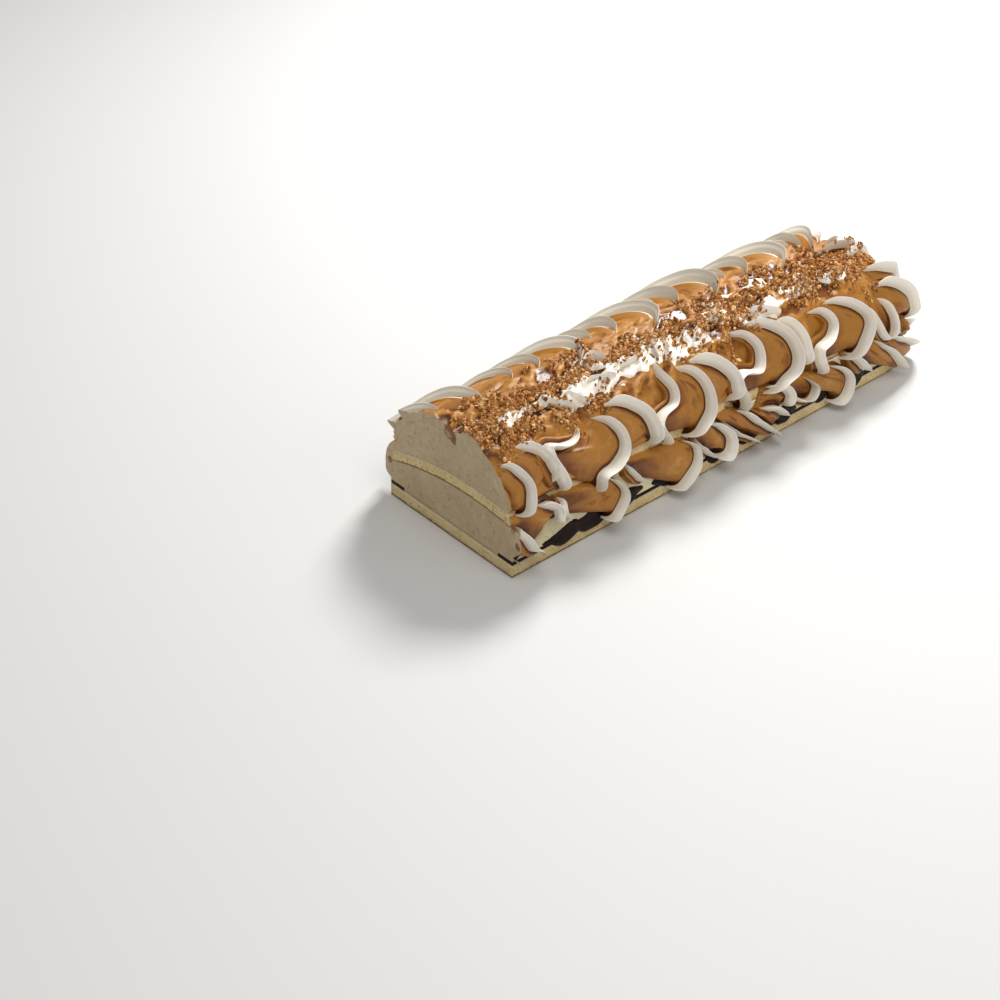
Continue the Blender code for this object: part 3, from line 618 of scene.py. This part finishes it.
def crestShape(across, onward):
    middle = np.abs(across - 0.5)
    (near, nearReach), (rest, restReach) = crest["fine"], crest["coarse"]
    outward = np.where(middle < near, middle / near * nearReach, nearReach + (middle - near) / rest * restReach)
    position = np.sign(across - 0.5) * outward
    along = crest["start"] + (straightLength + crest["longer"]) * onward
    profile = np.array(crestProfile)
    lift = np.interp(position, profile[:, 0], profile[:, 1])
    rough = np.interp(position, profile[:, 0], profile[:, 2]) * crest["roughness"]
    peaks = np.array(
        [
            noise.ridged_multi_fractal(Vector((x * 0.5 + d * 0.3, d * 0.7, 3.0)), 1.1, 2.1, 4, 0.9, 2.0)
            for x, d in zip(along, position)
        ]
    )
    peaks = (peaks - peaks.mean()) / peaks.std()
    drift = np.zeros(len(along))
    for driftAlong, driftDown, reachAlong, reachDown in whiteDrifts:
        away = ((along - driftAlong) / reachAlong) ** 2 + ((position - driftDown) / reachDown) ** 2
        drift = np.maximum(drift, np.exp(-away))
    lift = lift + rough * (crest["peaks"] * np.clip(peaks, -1.2, 2.0) + crest["drifts"] * drift)
    lift = np.where(onward > 0.985, sunkLift, lift)
    torn = 0.1 * smoothStep(-1.2, -0.4, position) * (1 - smoothStep(3.4, 4.2, position))
    white = smoothStep(0.3, 0.52, drift + torn + 0.17 * peaks * (np.abs(position) < 4.2))
    return {
        "along": along,
        "down": position,
        "lift": lift,
        "whiteness": white,
        # painted light on the crest: hollows between the peaks darkened, partly pooled caramel and partly painted
        # shade, and the white lit on the peaks and in painted shade in the hollows
        "poolAndShade": 1.15 * (1 - smoothStep(-0.9, 0.7, peaks)) * np.clip(rough / crest["roughness"], 0.1, 1),
        "rise": smoothStep(-0.6, 0.6, peaks),
        "flow": np.stack((position, along * 0.5, np.full(len(along), 77.0)), axis=1),
    }


def farCoatShape(across, onward):
    down = farCoat["down"][0] + farCoat["down"][1] * across
    inside = (across > 0.96) | (onward < 0.01) | (onward > 0.99)
    return {
        "along": straightLength + core["turnRadius"] * (farCoat["turn"] * onward - farCoat["before"]),
        "down": down,
        "lift": np.where(inside, sunkLift, farCoat["lift"]),
        "whiteness": np.zeros(len(down)),
        "poolAndShade": np.full(len(down), 0.3),
        "rise": np.ones(len(down)),
        "flow": np.stack((down, onward * 20, np.full(len(down), 12.0)), axis=1),
    }


def pipeCrest(name, slots):
    made = bmesh.new()
    bentSheet(made, crest["columns"], crest["rows"], crestShape, -1)
    bentSheet(made, farCoat["columns"], farCoat["rows"], farCoatShape, -1)
    for i, (path, start, end) in enumerate(crestStreaks):
        ribbon = (path, start, end, 1.0)
        pipeShell(made, [ribbon], streak["lift"], -1, streak["rows"], streak["seed"] + i, 1.0, allWhite=streak["white"])
    return finishCream(made, name, slots)


def newMaterial(name):
    material = bpy.data.materials.new(name)
    material.use_nodes = True
    return material, material.node_tree, material.node_tree.nodes["Principled BSDF"]


def ramp(tree, factor, stops):
    node = tree.nodes.new("ShaderNodeValToRGB")
    elements = node.color_ramp.elements
    while len(elements) < len(stops):
        elements.new(0.5)
    for element, (place, colour) in zip(elements, stops):
        element.position = place
        element.color = (*colour, 1)
    tree.links.new(factor, node.inputs["Fac"])
    return node.outputs["Color"]


def mixColour(tree, factor, first, second):
    node = tree.nodes.new("ShaderNodeMix")
    node.data_type = "RGBA"
    for socket, value in ((node.inputs["Factor"], factor), (node.inputs["A"], first), (node.inputs["B"], second)):
        if isinstance(value, bpy.types.NodeSocket):
            tree.links.new(value, socket)
        elif isinstance(value, (int, float)):
            socket.default_value = value
        else:
            socket.default_value = (*value, 1)
    return node.outputs["Result"]


def maths(tree, operation, first, second):
    node = tree.nodes.new("ShaderNodeMath")
    node.operation = operation
    for socket, value in ((node.inputs[0], first), (node.inputs[1], second)):
        if isinstance(value, bpy.types.NodeSocket):
            tree.links.new(value, socket)
        else:
            socket.default_value = value
    return node.outputs[0]


def frayed(tree, value, texture, amount):
    # a value with a texture's ups and downs added
    return maths(tree, "ADD", value, maths(tree, "MULTIPLY", maths(tree, "SUBTRACT", texture, 0.5), amount))


def weighted(tree, first, second, share):
    return maths(tree, "ADD", maths(tree, "MULTIPLY", first, share), maths(tree, "MULTIPLY", second, 1 - share))


def mapRange(tree, value, low, high, toLow=0.0, toHigh=1.0):
    node = tree.nodes.new("ShaderNodeMapRange")
    node.interpolation_type = "SMOOTHSTEP"
    tree.links.new(value, node.inputs["Value"])
    for name, number in (("From Min", low), ("From Max", high), ("To Min", toLow), ("To Max", toHigh)):
        node.inputs[name].default_value = number
    return node.outputs["Result"]


def noiseTexture(tree, vector, scale, detail=4.0, roughness=0.55, distortion=0.0):
    node = tree.nodes.new("ShaderNodeTexNoise")
    if isinstance(scale, bpy.types.NodeSocket):
        tree.links.new(scale, node.inputs["Scale"])
    else:
        node.inputs["Scale"].default_value = scale
    node.inputs["Detail"].default_value = detail
    node.inputs["Roughness"].default_value = roughness
    node.inputs["Distortion"].default_value = distortion
    tree.links.new(vector, node.inputs["Vector"])
    return node.outputs["Fac"]


def objectPlace(tree):
    return tree.nodes.new("ShaderNodeTexCoord").outputs["Object"]


def attribute(tree, name):
    node = tree.nodes.new("ShaderNodeAttribute")
    node.attribute_name = name
    return node


def bump(tree, height, strength, distance):
    node = tree.nodes.new("ShaderNodeBump")
    node.inputs["Strength"].default_value = strength
    node.inputs["Distance"].default_value = distance
    tree.links.new(height, node.inputs["Height"])
    return node.outputs["Normal"]


def poresGroup():
    # grain and small holes, for every cut or baked surface
    group = bpy.data.node_groups.new("pores", "ShaderNodeTree")
    group.interface.new_socket(name="Place", in_out="INPUT", socket_type="NodeSocketVector")
    for name in ("Grain scale", "Pit scale", "Pit share"):
        group.interface.new_socket(name=name, in_out="INPUT", socket_type="NodeSocketFloat")
    for name in ("Grain", "Whole", "Height"):
        group.interface.new_socket(name=name, in_out="OUTPUT", socket_type="NodeSocketFloat")
    given = group.nodes.new("NodeGroupInput").outputs
    grain = noiseTexture(group, given["Place"], given["Grain scale"], 6, 0.7)
    holes = noiseTexture(group, given["Place"], given["Pit scale"], 2, 0.5)
    whole = mapRange(group, maths(group, "SUBTRACT", holes, given["Pit share"]), 0.0, 0.08)
    made = group.nodes.new("NodeGroupOutput").inputs
    group.links.new(grain, made["Grain"])
    group.links.new(whole, made["Whole"])
    group.links.new(maths(group, "ADD", grain, maths(group, "MULTIPLY", whole, 0.5)), made["Height"])
    return group


def pores(tree, group, place, grainScale, pitScale, pitShare):
    node = tree.nodes.new("ShaderNodeGroup")
    node.node_tree = group
    tree.links.new(place, node.inputs["Place"])
    for name, value in (("Grain scale", grainScale), ("Pit scale", pitScale), ("Pit share", pitShare)):
        node.inputs[name].default_value = value
    return node.outputs


# Colours, from the piping's white to the caramel that gathers in its pockets, with painted shade on the white's low
# faces; the amber and deep of the pockets are partly pooled caramel and partly painted shade
creamLook = {
    "white": (0.86, 0.835, 0.79),
    "ivory": (0.82, 0.77, 0.68),
    # painted shade, for the white's low faces and the broad walls, under the lit white of the lips
    "shade": (0.68, 0.61, 0.49),
    "light": (0.60, 0.32, 0.085),
    "gold": (0.39, 0.163, 0.022),
    "amber": (0.175, 0.05, 0.006),
    "deep": (0.035, 0.009, 0.0025),
}
# the cut face's tones are the ice cream's warm cream colour, darkened and warmed as painted shade; the faces behind it
# keep a paler colour
iceLook = {
    "shade": (0.54, 0.405, 0.23),
    "light": (0.62, 0.48, 0.295),
    "pits": (0.42, 0.30, 0.17),
    "grain": (0.40, 0.29, 0.16),
    "outside": (0.82, 0.72, 0.44),  # paler, on the faces behind the cut face
    "stain": (0.26, 0.10, 0.025),
}
spongeLook = {
    "shade": (0.70, 0.52, 0.22),
    "light": (0.83, 0.66, 0.35),
    "pits": (0.48, 0.32, 0.12),
    "soaked": (0.71, 0.565, 0.36),  # by the ice cream
    "baked": (0.30, 0.15, 0.05),  # the thin underside
}
sauceLook = {"shade": (0.004, 0.002, 0.0015), "light": (0.022, 0.007, 0.003)}
crumbLook = [
    (0.12, (0.20, 0.065, 0.015)),
    (0.4, (0.40, 0.165, 0.042)),
    (0.68, (0.55, 0.28, 0.095)),
    (0.9, (0.82, 0.58, 0.30)),
]


def pipedCreamMaterial():
    material, tree, shader = newMaterial("pipedCream")
    place = objectPlace(tree)
    flow = attribute(tree, "flow").outputs["Vector"]
    whiteness = attribute(tree, "whiteness").outputs["Fac"]
    poolAndShade = attribute(tree, "poolAndShade").outputs["Fac"]
    streaks = noiseTexture(tree, flow, 1.1, 6, 0.62, 1.2)
    mottle = noiseTexture(tree, place, 60, 3)
    amber, gold, light = (creamLook[name] for name in ("amber", "gold", "light"))
    tones = [(0.35, amber), (0.45, gold), (0.54, gold), (0.66, light)]
    caramel = ramp(tree, weighted(tree, streaks, mottle, 0.75), tones)
    # the pockets darken to amber and deep: partly pooled caramel, partly painted shade in the hollows
    pooledAndShaded = frayed(tree, poolAndShade, streaks, 1.4)
    caramel = mixColour(tree, mapRange(tree, pooledAndShaded, 0.18, 0.8), caramel, amber)
    caramel = mixColour(tree, mapRange(tree, pooledAndShaded, 0.65, 1.25), caramel, creamLook["deep"])
    rise = attribute(tree, "rise").outputs["Fac"]
    white = mixColour(tree, noiseTexture(tree, place, 30, 3), creamLook["white"], creamLook["ivory"])
    # painted light on the white: painted shade where it is low, lit white towards the lips
    white = mixColour(tree, rise, creamLook["shade"], white)
    isWhite = mapRange(tree, frayed(tree, whiteness, mottle, 0.6), 0.4, 0.6)
    colour = mixColour(tree, isWhite, caramel, white)
    tree.links.new(colour, shader.inputs["Base Color"])
    wet = mapRange(tree, pooledAndShaded, 0.0, 0.8, 0.52, 0.32)  # gathered caramel is wetter
    dry = maths(tree, "MULTIPLY", isWhite, 0.6)
    tree.links.new(maths(tree, "MAXIMUM", wet, dry), shader.inputs["Roughness"])
    shader.inputs["Specular IOR Level"].default_value = 0.32
    shader.inputs["Subsurface Weight"].default_value = 0.1
    shader.inputs["Subsurface Radius"].default_value = (1.0, 0.6, 0.35)
    shader.inputs["Subsurface Scale"].default_value = 0.002
    fine = noiseTexture(tree, flow, 6.0, 3, 0.5)
    tree.links.new(bump(tree, fine, 0.25, 0.0006), shader.inputs["Normal"])
    return material


# Caramel that ran over the cut face: (place in cm from the middle of its foot, reach)
stains = [
    ((0, 0.1, 8.9), 0.8),
    ((0, -0.3, 8.2), 0.45),
    ((0, -6.5, 4.2), 0.5),
    ((0, -6.9, 2.9), 0.4),
    ((0, 6.6, 3.0), 0.35),
]


def iceCreamMaterial(group):
    material, tree, shader = newMaterial("iceCreamCut")
    place = objectPlace(tree)
    made = pores(tree, group, place, 190, 300, 0.29)
    grain = made["Grain"]
    colour = ramp(tree, noiseTexture(tree, place, 40, 3), [(0.3, iceLook["shade"]), (0.7, iceLook["light"])])
    whole = maths(tree, "ADD", maths(tree, "MULTIPLY", made["Whole"], 0.5), 0.5)
    colour = mixColour(tree, whole, iceLook["pits"], colour)
    colour = mixColour(tree, mapRange(tree, grain, 0.32, 0.6, 0.55, 1.0), iceLook["grain"], colour)
    split = tree.nodes.new("ShaderNodeSeparateXYZ")
    tree.links.new(place, split.inputs[0])
    behind = mapRange(tree, split.outputs["X"], cakeOrigin[0] + 0.1 * cm, cakeOrigin[0] + 0.4 * cm)
    # the faces behind the cut face get the paler colour; the cut face's darker tones are painted shade
    colour = mixColour(tree, behind, colour, iceLook["outside"])
    for spot, reach in stains:
        away = tree.nodes.new("ShaderNodeVectorMath")
        away.operation = "DISTANCE"
        tree.links.new(place, away.inputs[0])
        away.inputs[1].default_value = Vector(cakeOrigin) + Vector(spot) * cm
        near = maths(tree, "MULTIPLY", away.outputs["Value"], 1 / (reach * cm))
        ragged = frayed(tree, near, grain, 2.4)
        colour = mixColour(tree, mapRange(tree, ragged, 0.5, 0.95), iceLook["stain"], colour)
    tree.links.new(colour, shader.inputs["Base Color"])
    shader.inputs["Roughness"].default_value = 0.6
    tree.links.new(bump(tree, made["Height"], 0.8, 0.0016), shader.inputs["Normal"])
    return material


def spongeMaterial(group):
    material, tree, shader = newMaterial("sponge")
    place = objectPlace(tree)
    made = pores(tree, group, place, 330, 420, 0.36)
    colour = ramp(tree, noiseTexture(tree, place, 60, 3), [(0.3, spongeLook["shade"]), (0.7, spongeLook["light"])])
    whole = maths(tree, "ADD", maths(tree, "MULTIPLY", made["Whole"], 0.5), 0.5)
    colour = mixColour(tree, whole, spongeLook["pits"], colour)
    ragged = frayed(tree, attribute(tree, "rim").outputs["Fac"], made["Grain"], 0.4)
    colour = mixColour(tree, mapRange(tree, ragged, 0.4, 0.95, 0.0, 0.6), colour, spongeLook["soaked"])
    colour = mixColour(tree, mapRange(tree, ragged, 0.05, 0.17), spongeLook["baked"], colour)
    tree.links.new(colour, shader.inputs["Base Color"])
    shader.inputs["Roughness"].default_value = 0.85
    tree.links.new(bump(tree, made["Height"], 0.7, 0.0012), shader.inputs["Normal"])
    return material


def sauceMaterial():
    material, tree, shader = newMaterial("darkSauce")
    place = objectPlace(tree)
    cloud = noiseTexture(tree, place, 90, 3)
    colour = ramp(tree, cloud, [(0.35, sauceLook["shade"]), (0.75, sauceLook["light"])])
    tree.links.new(colour, shader.inputs["Base Color"])
    tree.links.new(mapRange(tree, cloud, 0.3, 0.7, 0.2, 0.34), shader.inputs["Roughness"])
    shader.inputs["Specular IOR Level"].default_value = 0.12
    tree.links.new(bump(tree, noiseTexture(tree, place, 200, 2), 0.3, 0.0006), shader.inputs["Normal"])
    return material


def crumbMaterial():
    material, tree, shader = newMaterial("crumbs")
    place = objectPlace(tree)
    tone = attribute(tree, "tone").outputs["Fac"]
    speck = noiseTexture(tree, place, 700, 3, 0.6)
    colour = ramp(tree, weighted(tree, tone, speck, 0.75), crumbLook)
    tree.links.new(colour, shader.inputs["Base Color"])
    shader.inputs["Roughness"].default_value = 0.8
    shader.inputs["Specular IOR Level"].default_value = 0.2
    tree.links.new(bump(tree, speck, 0.6, 0.0005), shader.inputs["Normal"])
    return material


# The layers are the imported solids, with a crumbled cut face
layerLook = {"grid": 0.25, "sharpAngle": 40, "grainScale": 420}
arch = {"edge": 3.5, "rise": 0.85, "tilt": 0.5}  # of the middle sponge's underside, in cm
tiny = 0.00001


def underside(name, y):
    if name != "middle_sponge":
        return 0.0
    share = max(-1.0, min(1.0, y / core["halfWidth"]))
    return arch["edge"] + arch["rise"] * (1 - share**2) - arch["tilt"] * share


def crumbledLayer(nodeName, pieceName, material, rough):
    layer = bmesh.new()
    layer.from_mesh(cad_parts[nodeName].data)
    bmesh.ops.remove_doubles(layer, verts=layer.verts, dist=tiny)
    bmesh.ops.dissolve_limit(layer, angle_limit=math.radians(1), verts=layer.verts, edges=layer.edges)
    atCut = [f for f in layer.faces if all(abs(v.co.x - cakeOrigin[0]) < tiny for v in f.verts)]
    parts = list({p for f in atCut for p in (*f.verts, *f.edges, f)})
    low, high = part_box(nodeName)
    step = layerLook["grid"] * cm
    for axis in (1, 2):
        count = int((high[axis] - low[axis]) / step)
        for i in range(1, count):
            plane = Vector((0, 0, 0))
            plane[axis] = low[axis] + (high[axis] - low[axis]) * i / count
            direction = Vector((0, 0, 0))
            direction[axis] = 1
            parts = bmesh.ops.bisect_plane(layer, geom=parts, plane_co=plane, plane_no=direction)["geom"]
    inner = {v for p in parts if isinstance(p, bmesh.types.BMFace) for v in p.verts}
    inner = [v for v in inner if all(abs(f.normal.x) > 0.99 for f in v.link_faces)]
    for v in inner:
        v.co.x += rough * cm * noise.noise(v.co * layerLook["grainScale"])
    rim = layer.verts.layers.float.new("rim")
    for v in layer.verts:
        y = (v.co.y - cakeOrigin[1]) / cm
        v[rim] = (v.co.z - cakeOrigin[2]) / cm - underside(nodeName, y)
    for face in layer.faces:
        face.smooth = True
    mesh = asMesh(layer, pieceName)
    mesh.set_sharp_from_angle(angle=math.radians(layerLook["sharpAngle"]))
    piece = addPiece(pieceName, mesh, material)
    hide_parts(nodeName)


# Sauce that ran down between the lobes, by side, as a dark sheet that also reaches up into the shade under the lobes as
# a painted shadow: (place along, reach, amount)
sauceAndShadowRuns = {
    -1: [
        (0.2, 0.9, 0.5),
        (5.2, 1.4, 1.0),
        (7.6, 1.5, 1.2),
        (10.4, 1.6, 1.3),
        (15.6, 1.2, 1.1),
        (20.6, 1.0, 1.2),
        (24.6, 1.2, 1.0),
        (28.4, 1.0, 1.1),
        (33.0, 1.2, 1.0),
        (37.0, 1.0, 1.2),
        (42.0, 1.4, 1.0),
    ],
    1: [
        (1.0, 1.2, 0.9),
        (6.0, 1.2, 1.1),
        (11.5, 1.4, 1.0),
        (17.5, 1.2, 1.2),
        (24.0, 1.4, 1.0),
        (30.5, 1.2, 1.1),
        (36.5, 1.2, 1.0),
        (42.0, 1.3, 1.1),
    ],
}
sauceAndShadowFlow = {
    "columns": 22,
    "rows": 380,
    "thickness": 0.35,
    "start": 0.05,
    "length": 44.5,
    "top": 2.5,  # above the foot
    "width": 2.45,
    "middle": 1.5,  # above the foot, where it is deepest
    "spread": 0.9,
    "ragged": 0.3,
    "drips": 0.5,
    "dry": 0.15,
    "sunk": (-0.2, -0.12),  # lift of the rim and of what is dry
    "swell": 0.3,
}


# a dark sheet at the foot: real sauce, and painted shadow where it reaches up under the lobes
def pourSauceAndShadow(name, side, material):
    def shape(across, onward):
        along = sauceAndShadowFlow["start"] + sauceAndShadowFlow["length"] * onward
        down = footDown - sauceAndShadowFlow["top"] + sauceAndShadowFlow["width"] * across
        wet = bare = np.zeros(len(along))
        for place, reach, amount in sauceAndShadowRuns[side]:
            wet = np.maximum(wet, amount * np.exp(-(((along - place) / reach) ** 2)))
        ragged = noiseAt(np.stack((along * 1.1, down * 0.6), axis=1), 1.0, 5.0 + side)
        drip = sauceAndShadowFlow["drips"] * noiseAt(np.stack((along * 0.7, down * 0), axis=1), 1.0, 9.0 + side)
        aside = np.abs((down - (footDown - sauceAndShadowFlow["middle"]) - drip) / sauceAndShadowFlow["spread"])
        depth = wet + sauceAndShadowFlow["ragged"] * ragged - 1.1 * aside**2 - sauceAndShadowFlow["dry"]
        rim = (across == 0) | (across == 1) | (onward == 0) | (onward == 1)
        rimLift, dryLift = sauceAndShadowFlow["sunk"]
        return {
            "along": along,
            "down": down,
            "lift": np.where(rim, rimLift, dryLift + sauceAndShadowFlow["swell"] * smoothStep(-0.3, 0.5, depth)),
            "whiteness": bare,
            "poolAndShade": bare,
            "rise": bare,
            "flow": np.zeros((len(along), 3)),
        }

    made = bmesh.new()
    bentSheet(made, sauceAndShadowFlow["columns"], sauceAndShadowFlow["rows"], shape, side, sauceAndShadowFlow["thickness"])
    piece = addPiece(name, asMesh(made, name), material)


# Crumbs scattered along the crest, with sizes in cm
crumbs = {
    "seed": 11,
    "shapes": 8,
    "batch": 120,  # joined at a time, which is quicker
    "clump": 22,
    "loose": (0.1, 0.42),  # spread of a clump
    "smallest": 0.045,
    "usual": 0.07,
    "largest": 0.25,
    "pile": 0.1,
    "nearest": 0.05,  # to the cut face
}
dropHeight = 0.3  # in metres, which the crumbs fall from
# Drifts of crumbs: place along and down from the crest (negative at the back), spread of each, and how many
crumbDrifts = [
    (0.9, 1.6, 0.7, 0.7, 540),
    (1.6, 2.9, 0.8, 0.6, 440),
    (3.4, 1.0, 1.0, 0.5, 440),
    (3.6, 3.0, 0.9, 0.5, 140),
    (6.0, 0.7, 1.4, 0.6, 580),
    (7.4, 3.6, 0.6, 0.35, 190),
    (4.8, 3.4, 1.0, 0.5, 90),
    (8.6, 0.9, 1.2, 0.5, 370),
    (10.8, 3.9, 1.2, 0.25, 150),
    (10.6, 0.6, 1.4, 0.5, 270),
    (14.8, 1.2, 1.0, 0.5, 310),
    (17.2, 0.9, 1.4, 0.6, 310),
    (20.6, 1.3, 1.2, 0.7, 380),
    (21.0, 3.4, 1.0, 0.6, 120),
    (24.0, 2.2, 1.3, 0.6, 310),
    (26.6, 2.4, 1.2, 0.6, 330),
    (28.0, 0.9, 1.6, 0.7, 380),
    (31.6, 1.6, 1.4, 0.8, 440),
    (34.4, 2.8, 1.6, 0.7, 540),
    (37.0, 1.2, 1.6, 1.0, 640),
    (39.2, 2.6, 1.2, 1.0, 780),
    (41.4, 1.2, 1.2, 1.0, 440),
    (20.0, 0.8, 12.0, 1.2, 920),
    (3.4, -0.9, 1.0, 0.4, 110),
    (12.4, -1.0, 1.2, 0.4, 130),
    (24.6, -1.0, 1.4, 0.4, 130),
    (33.0, -1.2, 1.4, 0.4, 130),
]


def crumbTemplates(rng):
    templates = []
    for _ in range(crumbs["shapes"]):
        crumb = bmesh.new()
        bmesh.ops.create_icosphere(crumb, subdivisions=1, radius=1.0)
        for v in crumb.verts:
            v.co *= rng.uniform(0.7, 1.25)
        bmesh.ops.scale(crumb, vec=(1.0, rng.uniform(0.6, 0.95), rng.uniform(0.5, 0.85)), verts=crumb.verts)
        crumb.verts.layers.float.new("tone")
        templates.append(asMesh(crumb, "crumb"))
    return templates


def scatterCrumbs(name, covers, material):
    rng = random.Random(crumbs["seed"])
    corners, faces = [], []
    for cover in covers:
        start = len(corners)
        corners += [v.co.copy() for v in cover.data.vertices]
        faces += [[start + i for i in p.vertices] for p in cover.data.polygons]
    tree = BVHTree.FromPolygons(corners, faces)
    templates = crumbTemplates(rng)
    made = bmesh.new()
    batch = bmesh.new()
    placed = 0

    def emptyBatch():
        mesh = bpy.data.meshes.new("batch")
        batch.to_mesh(mesh)
        made.from_mesh(mesh)
        bpy.data.meshes.remove(mesh)
        batch.clear()

    for along, down, spreadAlong, spreadDown, count in crumbDrifts:
        for i in range(count):
            if i % crumbs["clump"] == 0:
                middle = rng.gauss(along, spreadAlong), rng.gauss(down, spreadDown)
                loose = rng.uniform(*crumbs["loose"])
            x = cakeOrigin[0] + max(crumbs["nearest"], rng.gauss(middle[0], loose)) * cm
            y = cakeOrigin[1] - rng.gauss(middle[1], loose) * cm
            hit = tree.ray_cast(Vector((x, y, dropHeight)), Vector((0, 0, -1)))[0]
            if hit is None:
                continue
            size = rng.triangular(crumbs["smallest"], crumbs["largest"], crumbs["usual"]) * cm
            pile = abs(rng.gauss(0, crumbs["pile"])) * cm
            turn = Euler([rng.uniform(0, math.tau) for _ in range(3)]).to_matrix().to_4x4()
            start = len(batch.verts)
            batch.from_mesh(templates[rng.randrange(len(templates))])
            batch.verts.ensure_lookup_table()
            own = batch.verts[start:]
            tone = batch.verts.layers.float["tone"]
            place = Matrix.Translation(hit + Vector((0, 0, pile))) @ turn @ Matrix.Scale(size, 4)
            bmesh.ops.transform(batch, matrix=place, verts=own)
            shade = rng.random()
            for v in own:
                v[tone] = shade
            placed += 1
            if placed % crumbs["batch"] == 0:
                emptyBatch()
    emptyBatch()
    batch.free()
    piece = addPiece(name, asMesh(made, name), material)
    print(name, placed, "crumbs")


view = {
    "lens": 62.843,
    "sensor": 36,
    "pitch": 35.776,  # degrees down
    "roll": 1.772,
    "heading": 43.3,  # from the cake's length to the camera's right
    "place": (-65.10, -67.65, 74.2),  # in cm from the front corner of the cut face
}


def addCamera():
    camera = bpy.data.objects.new("camera", bpy.data.cameras.new("camera"))
    bpy.context.scene.collection.objects.link(camera)
    camera.data.lens = view["lens"]
    camera.data.sensor_width = view["sensor"]
    pitch, roll, heading = (math.radians(view[name]) for name in ("pitch", "roll", "heading"))
    right, up, ahead = (
        Vector((1, 0, 0)),
        Vector((0, math.sin(pitch), math.cos(pitch))),
        Vector((0, math.cos(pitch), -math.sin(pitch))),
    )
    right, up = (
        math.cos(roll) * right + math.sin(roll) * up,
        -math.sin(roll) * right + math.cos(roll) * up,
    )
    eastward = Vector((math.cos(heading), math.sin(heading), 0))
    northward = Vector((-math.sin(heading), math.cos(heading), 0))

    def turned(v):
        return Vector((v.dot(eastward), v.dot(northward), v.z))

    axes = [turned(v) for v in (right, up, -ahead)]
    corner = Vector(cakeOrigin) + Vector((0, -core["halfWidth"] * cm, 0))
    matrix = Matrix([(*row, 0) for row in zip(*axes)] + [(0, 0, 0, 1)])
    matrix.translation = corner + Vector(view["place"]) * cm
    camera.matrix_world = matrix
    bpy.context.scene.camera = camera


lights = [
    {"name": "key", "place": (0.95, 0.45, 1.15), "size": 0.45, "power": 32, "colour": (1.0, 0.99, 0.97)},
    {"name": "fill", "place": (0.25, -1.5, 0.7), "size": 1.2, "power": 5.0, "colour": (1.0, 0.98, 0.95)},
    {"name": "top", "place": (-0.45, -0.65, 1.5), "size": 1.0, "power": 11, "colour": (1.0, 0.985, 0.95)},
]
floorLook = {"size": 6, "below": 0.0005, "colour": (0.66, 0.655, 0.645, 1), "roughness": 0.7}
worldLook = {"Color": (0.95, 0.97, 1.0, 1), "Strength": 0.26}


def addStage():
    floor = bmesh.new()
    bmesh.ops.create_grid(floor, x_segments=2, y_segments=2, size=floorLook["size"])
    mesh = asMesh(floor, "floor")
    ground = bpy.data.objects.new("floor", mesh)
    bpy.context.scene.collection.objects.link(ground)
    mesh.transform(Matrix.Translation((0, 0, cadBox[0].z - floorLook["below"])))
    material, _, shader = newMaterial("floor")
    shader.inputs["Base Color"].default_value = floorLook["colour"]
    shader.inputs["Roughness"].default_value = floorLook["roughness"]
    mesh.materials.append(material)
    world = bpy.data.worlds.new("studio")
    bpy.context.scene.world = world
    world.use_nodes = True
    for name, value in worldLook.items():
        world.node_tree.nodes["Background"].inputs[name].default_value = value
    for own in lights:
        lamp = bpy.data.lights.new(own["name"], "AREA")
        lamp.size = own["size"]
        lamp.energy = own["power"]
        lamp.color = own["colour"]
        holder = bpy.data.objects.new(own["name"], lamp)
        holder.location = own["place"]
        holder.rotation_mode = "QUATERNION"
        holder.rotation_quaternion = (-Vector(own["place"])).to_track_quat("-Z", "Y")
        bpy.context.scene.collection.objects.link(holder)
    settings = bpy.context.scene.view_settings
    settings.view_transform = "Standard"
    settings.look = "None"


def main():
    addCamera()
    addStage()
    print("stage ready")
    cream = pipedCreamMaterial()
    group = poresGroup()
    ice = iceCreamMaterial(group)
    sponge = spongeMaterial(group)
    sauce = sauceMaterial()
    crumbledLayer("base_sponge", "baseSponge", sponge, cut["grain"])
    crumbledLayer("lower_ice_cream", "lowerIceCream", ice, cut["grain"])
    crumbledLayer("middle_sponge", "middleSponge", sponge, cut["grain"])
    crumbledLayer("upper_ice_cream", "upperIceCream", ice, 0.0)
    for name in ("sauce_seam_front", "sauce_seam_back"):
        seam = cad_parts[name]
        for slot in seam.material_slots:
            slot.material = sauce
    print("layers ready")
    slots = (cream, ice)
    lobes = [{"lift": piping["lobeLift"], "ribbons": lobe} for lobe in frontLobes]
    backShells, backLobes = placedShells(backShell, backRow), placedShells(backLobe, backLobeRow)
    covers = [
        pipeCrest("pipedCrest", slots),
        pipeRow("pipedShellsFront", frontShells, -1, piping["rowsUpper"], 2.0, slots, low=0.62),
        pipeRow("pipedShellsBack", backShells, 1, piping["rowsUpper"], 23.0, slots, low=0.75, wall=True),
        pipeRow("pipedLobesFront", lobes, -1, piping["rowsLower"], 41.0, slots),
        pipeRow("pipedLobesBack", backLobes, 1, piping["rowsLower"], 63.0, slots),
    ]
    print("piping ready")
    pourSauceAndShadow("sauceAndShadowFront", -1, sauce)
    pourSauceAndShadow("sauceAndShadowBack", 1, sauce)
    scatterCrumbs("crumbs", covers, crumbMaterial())
    print("crumbs ready")


main()
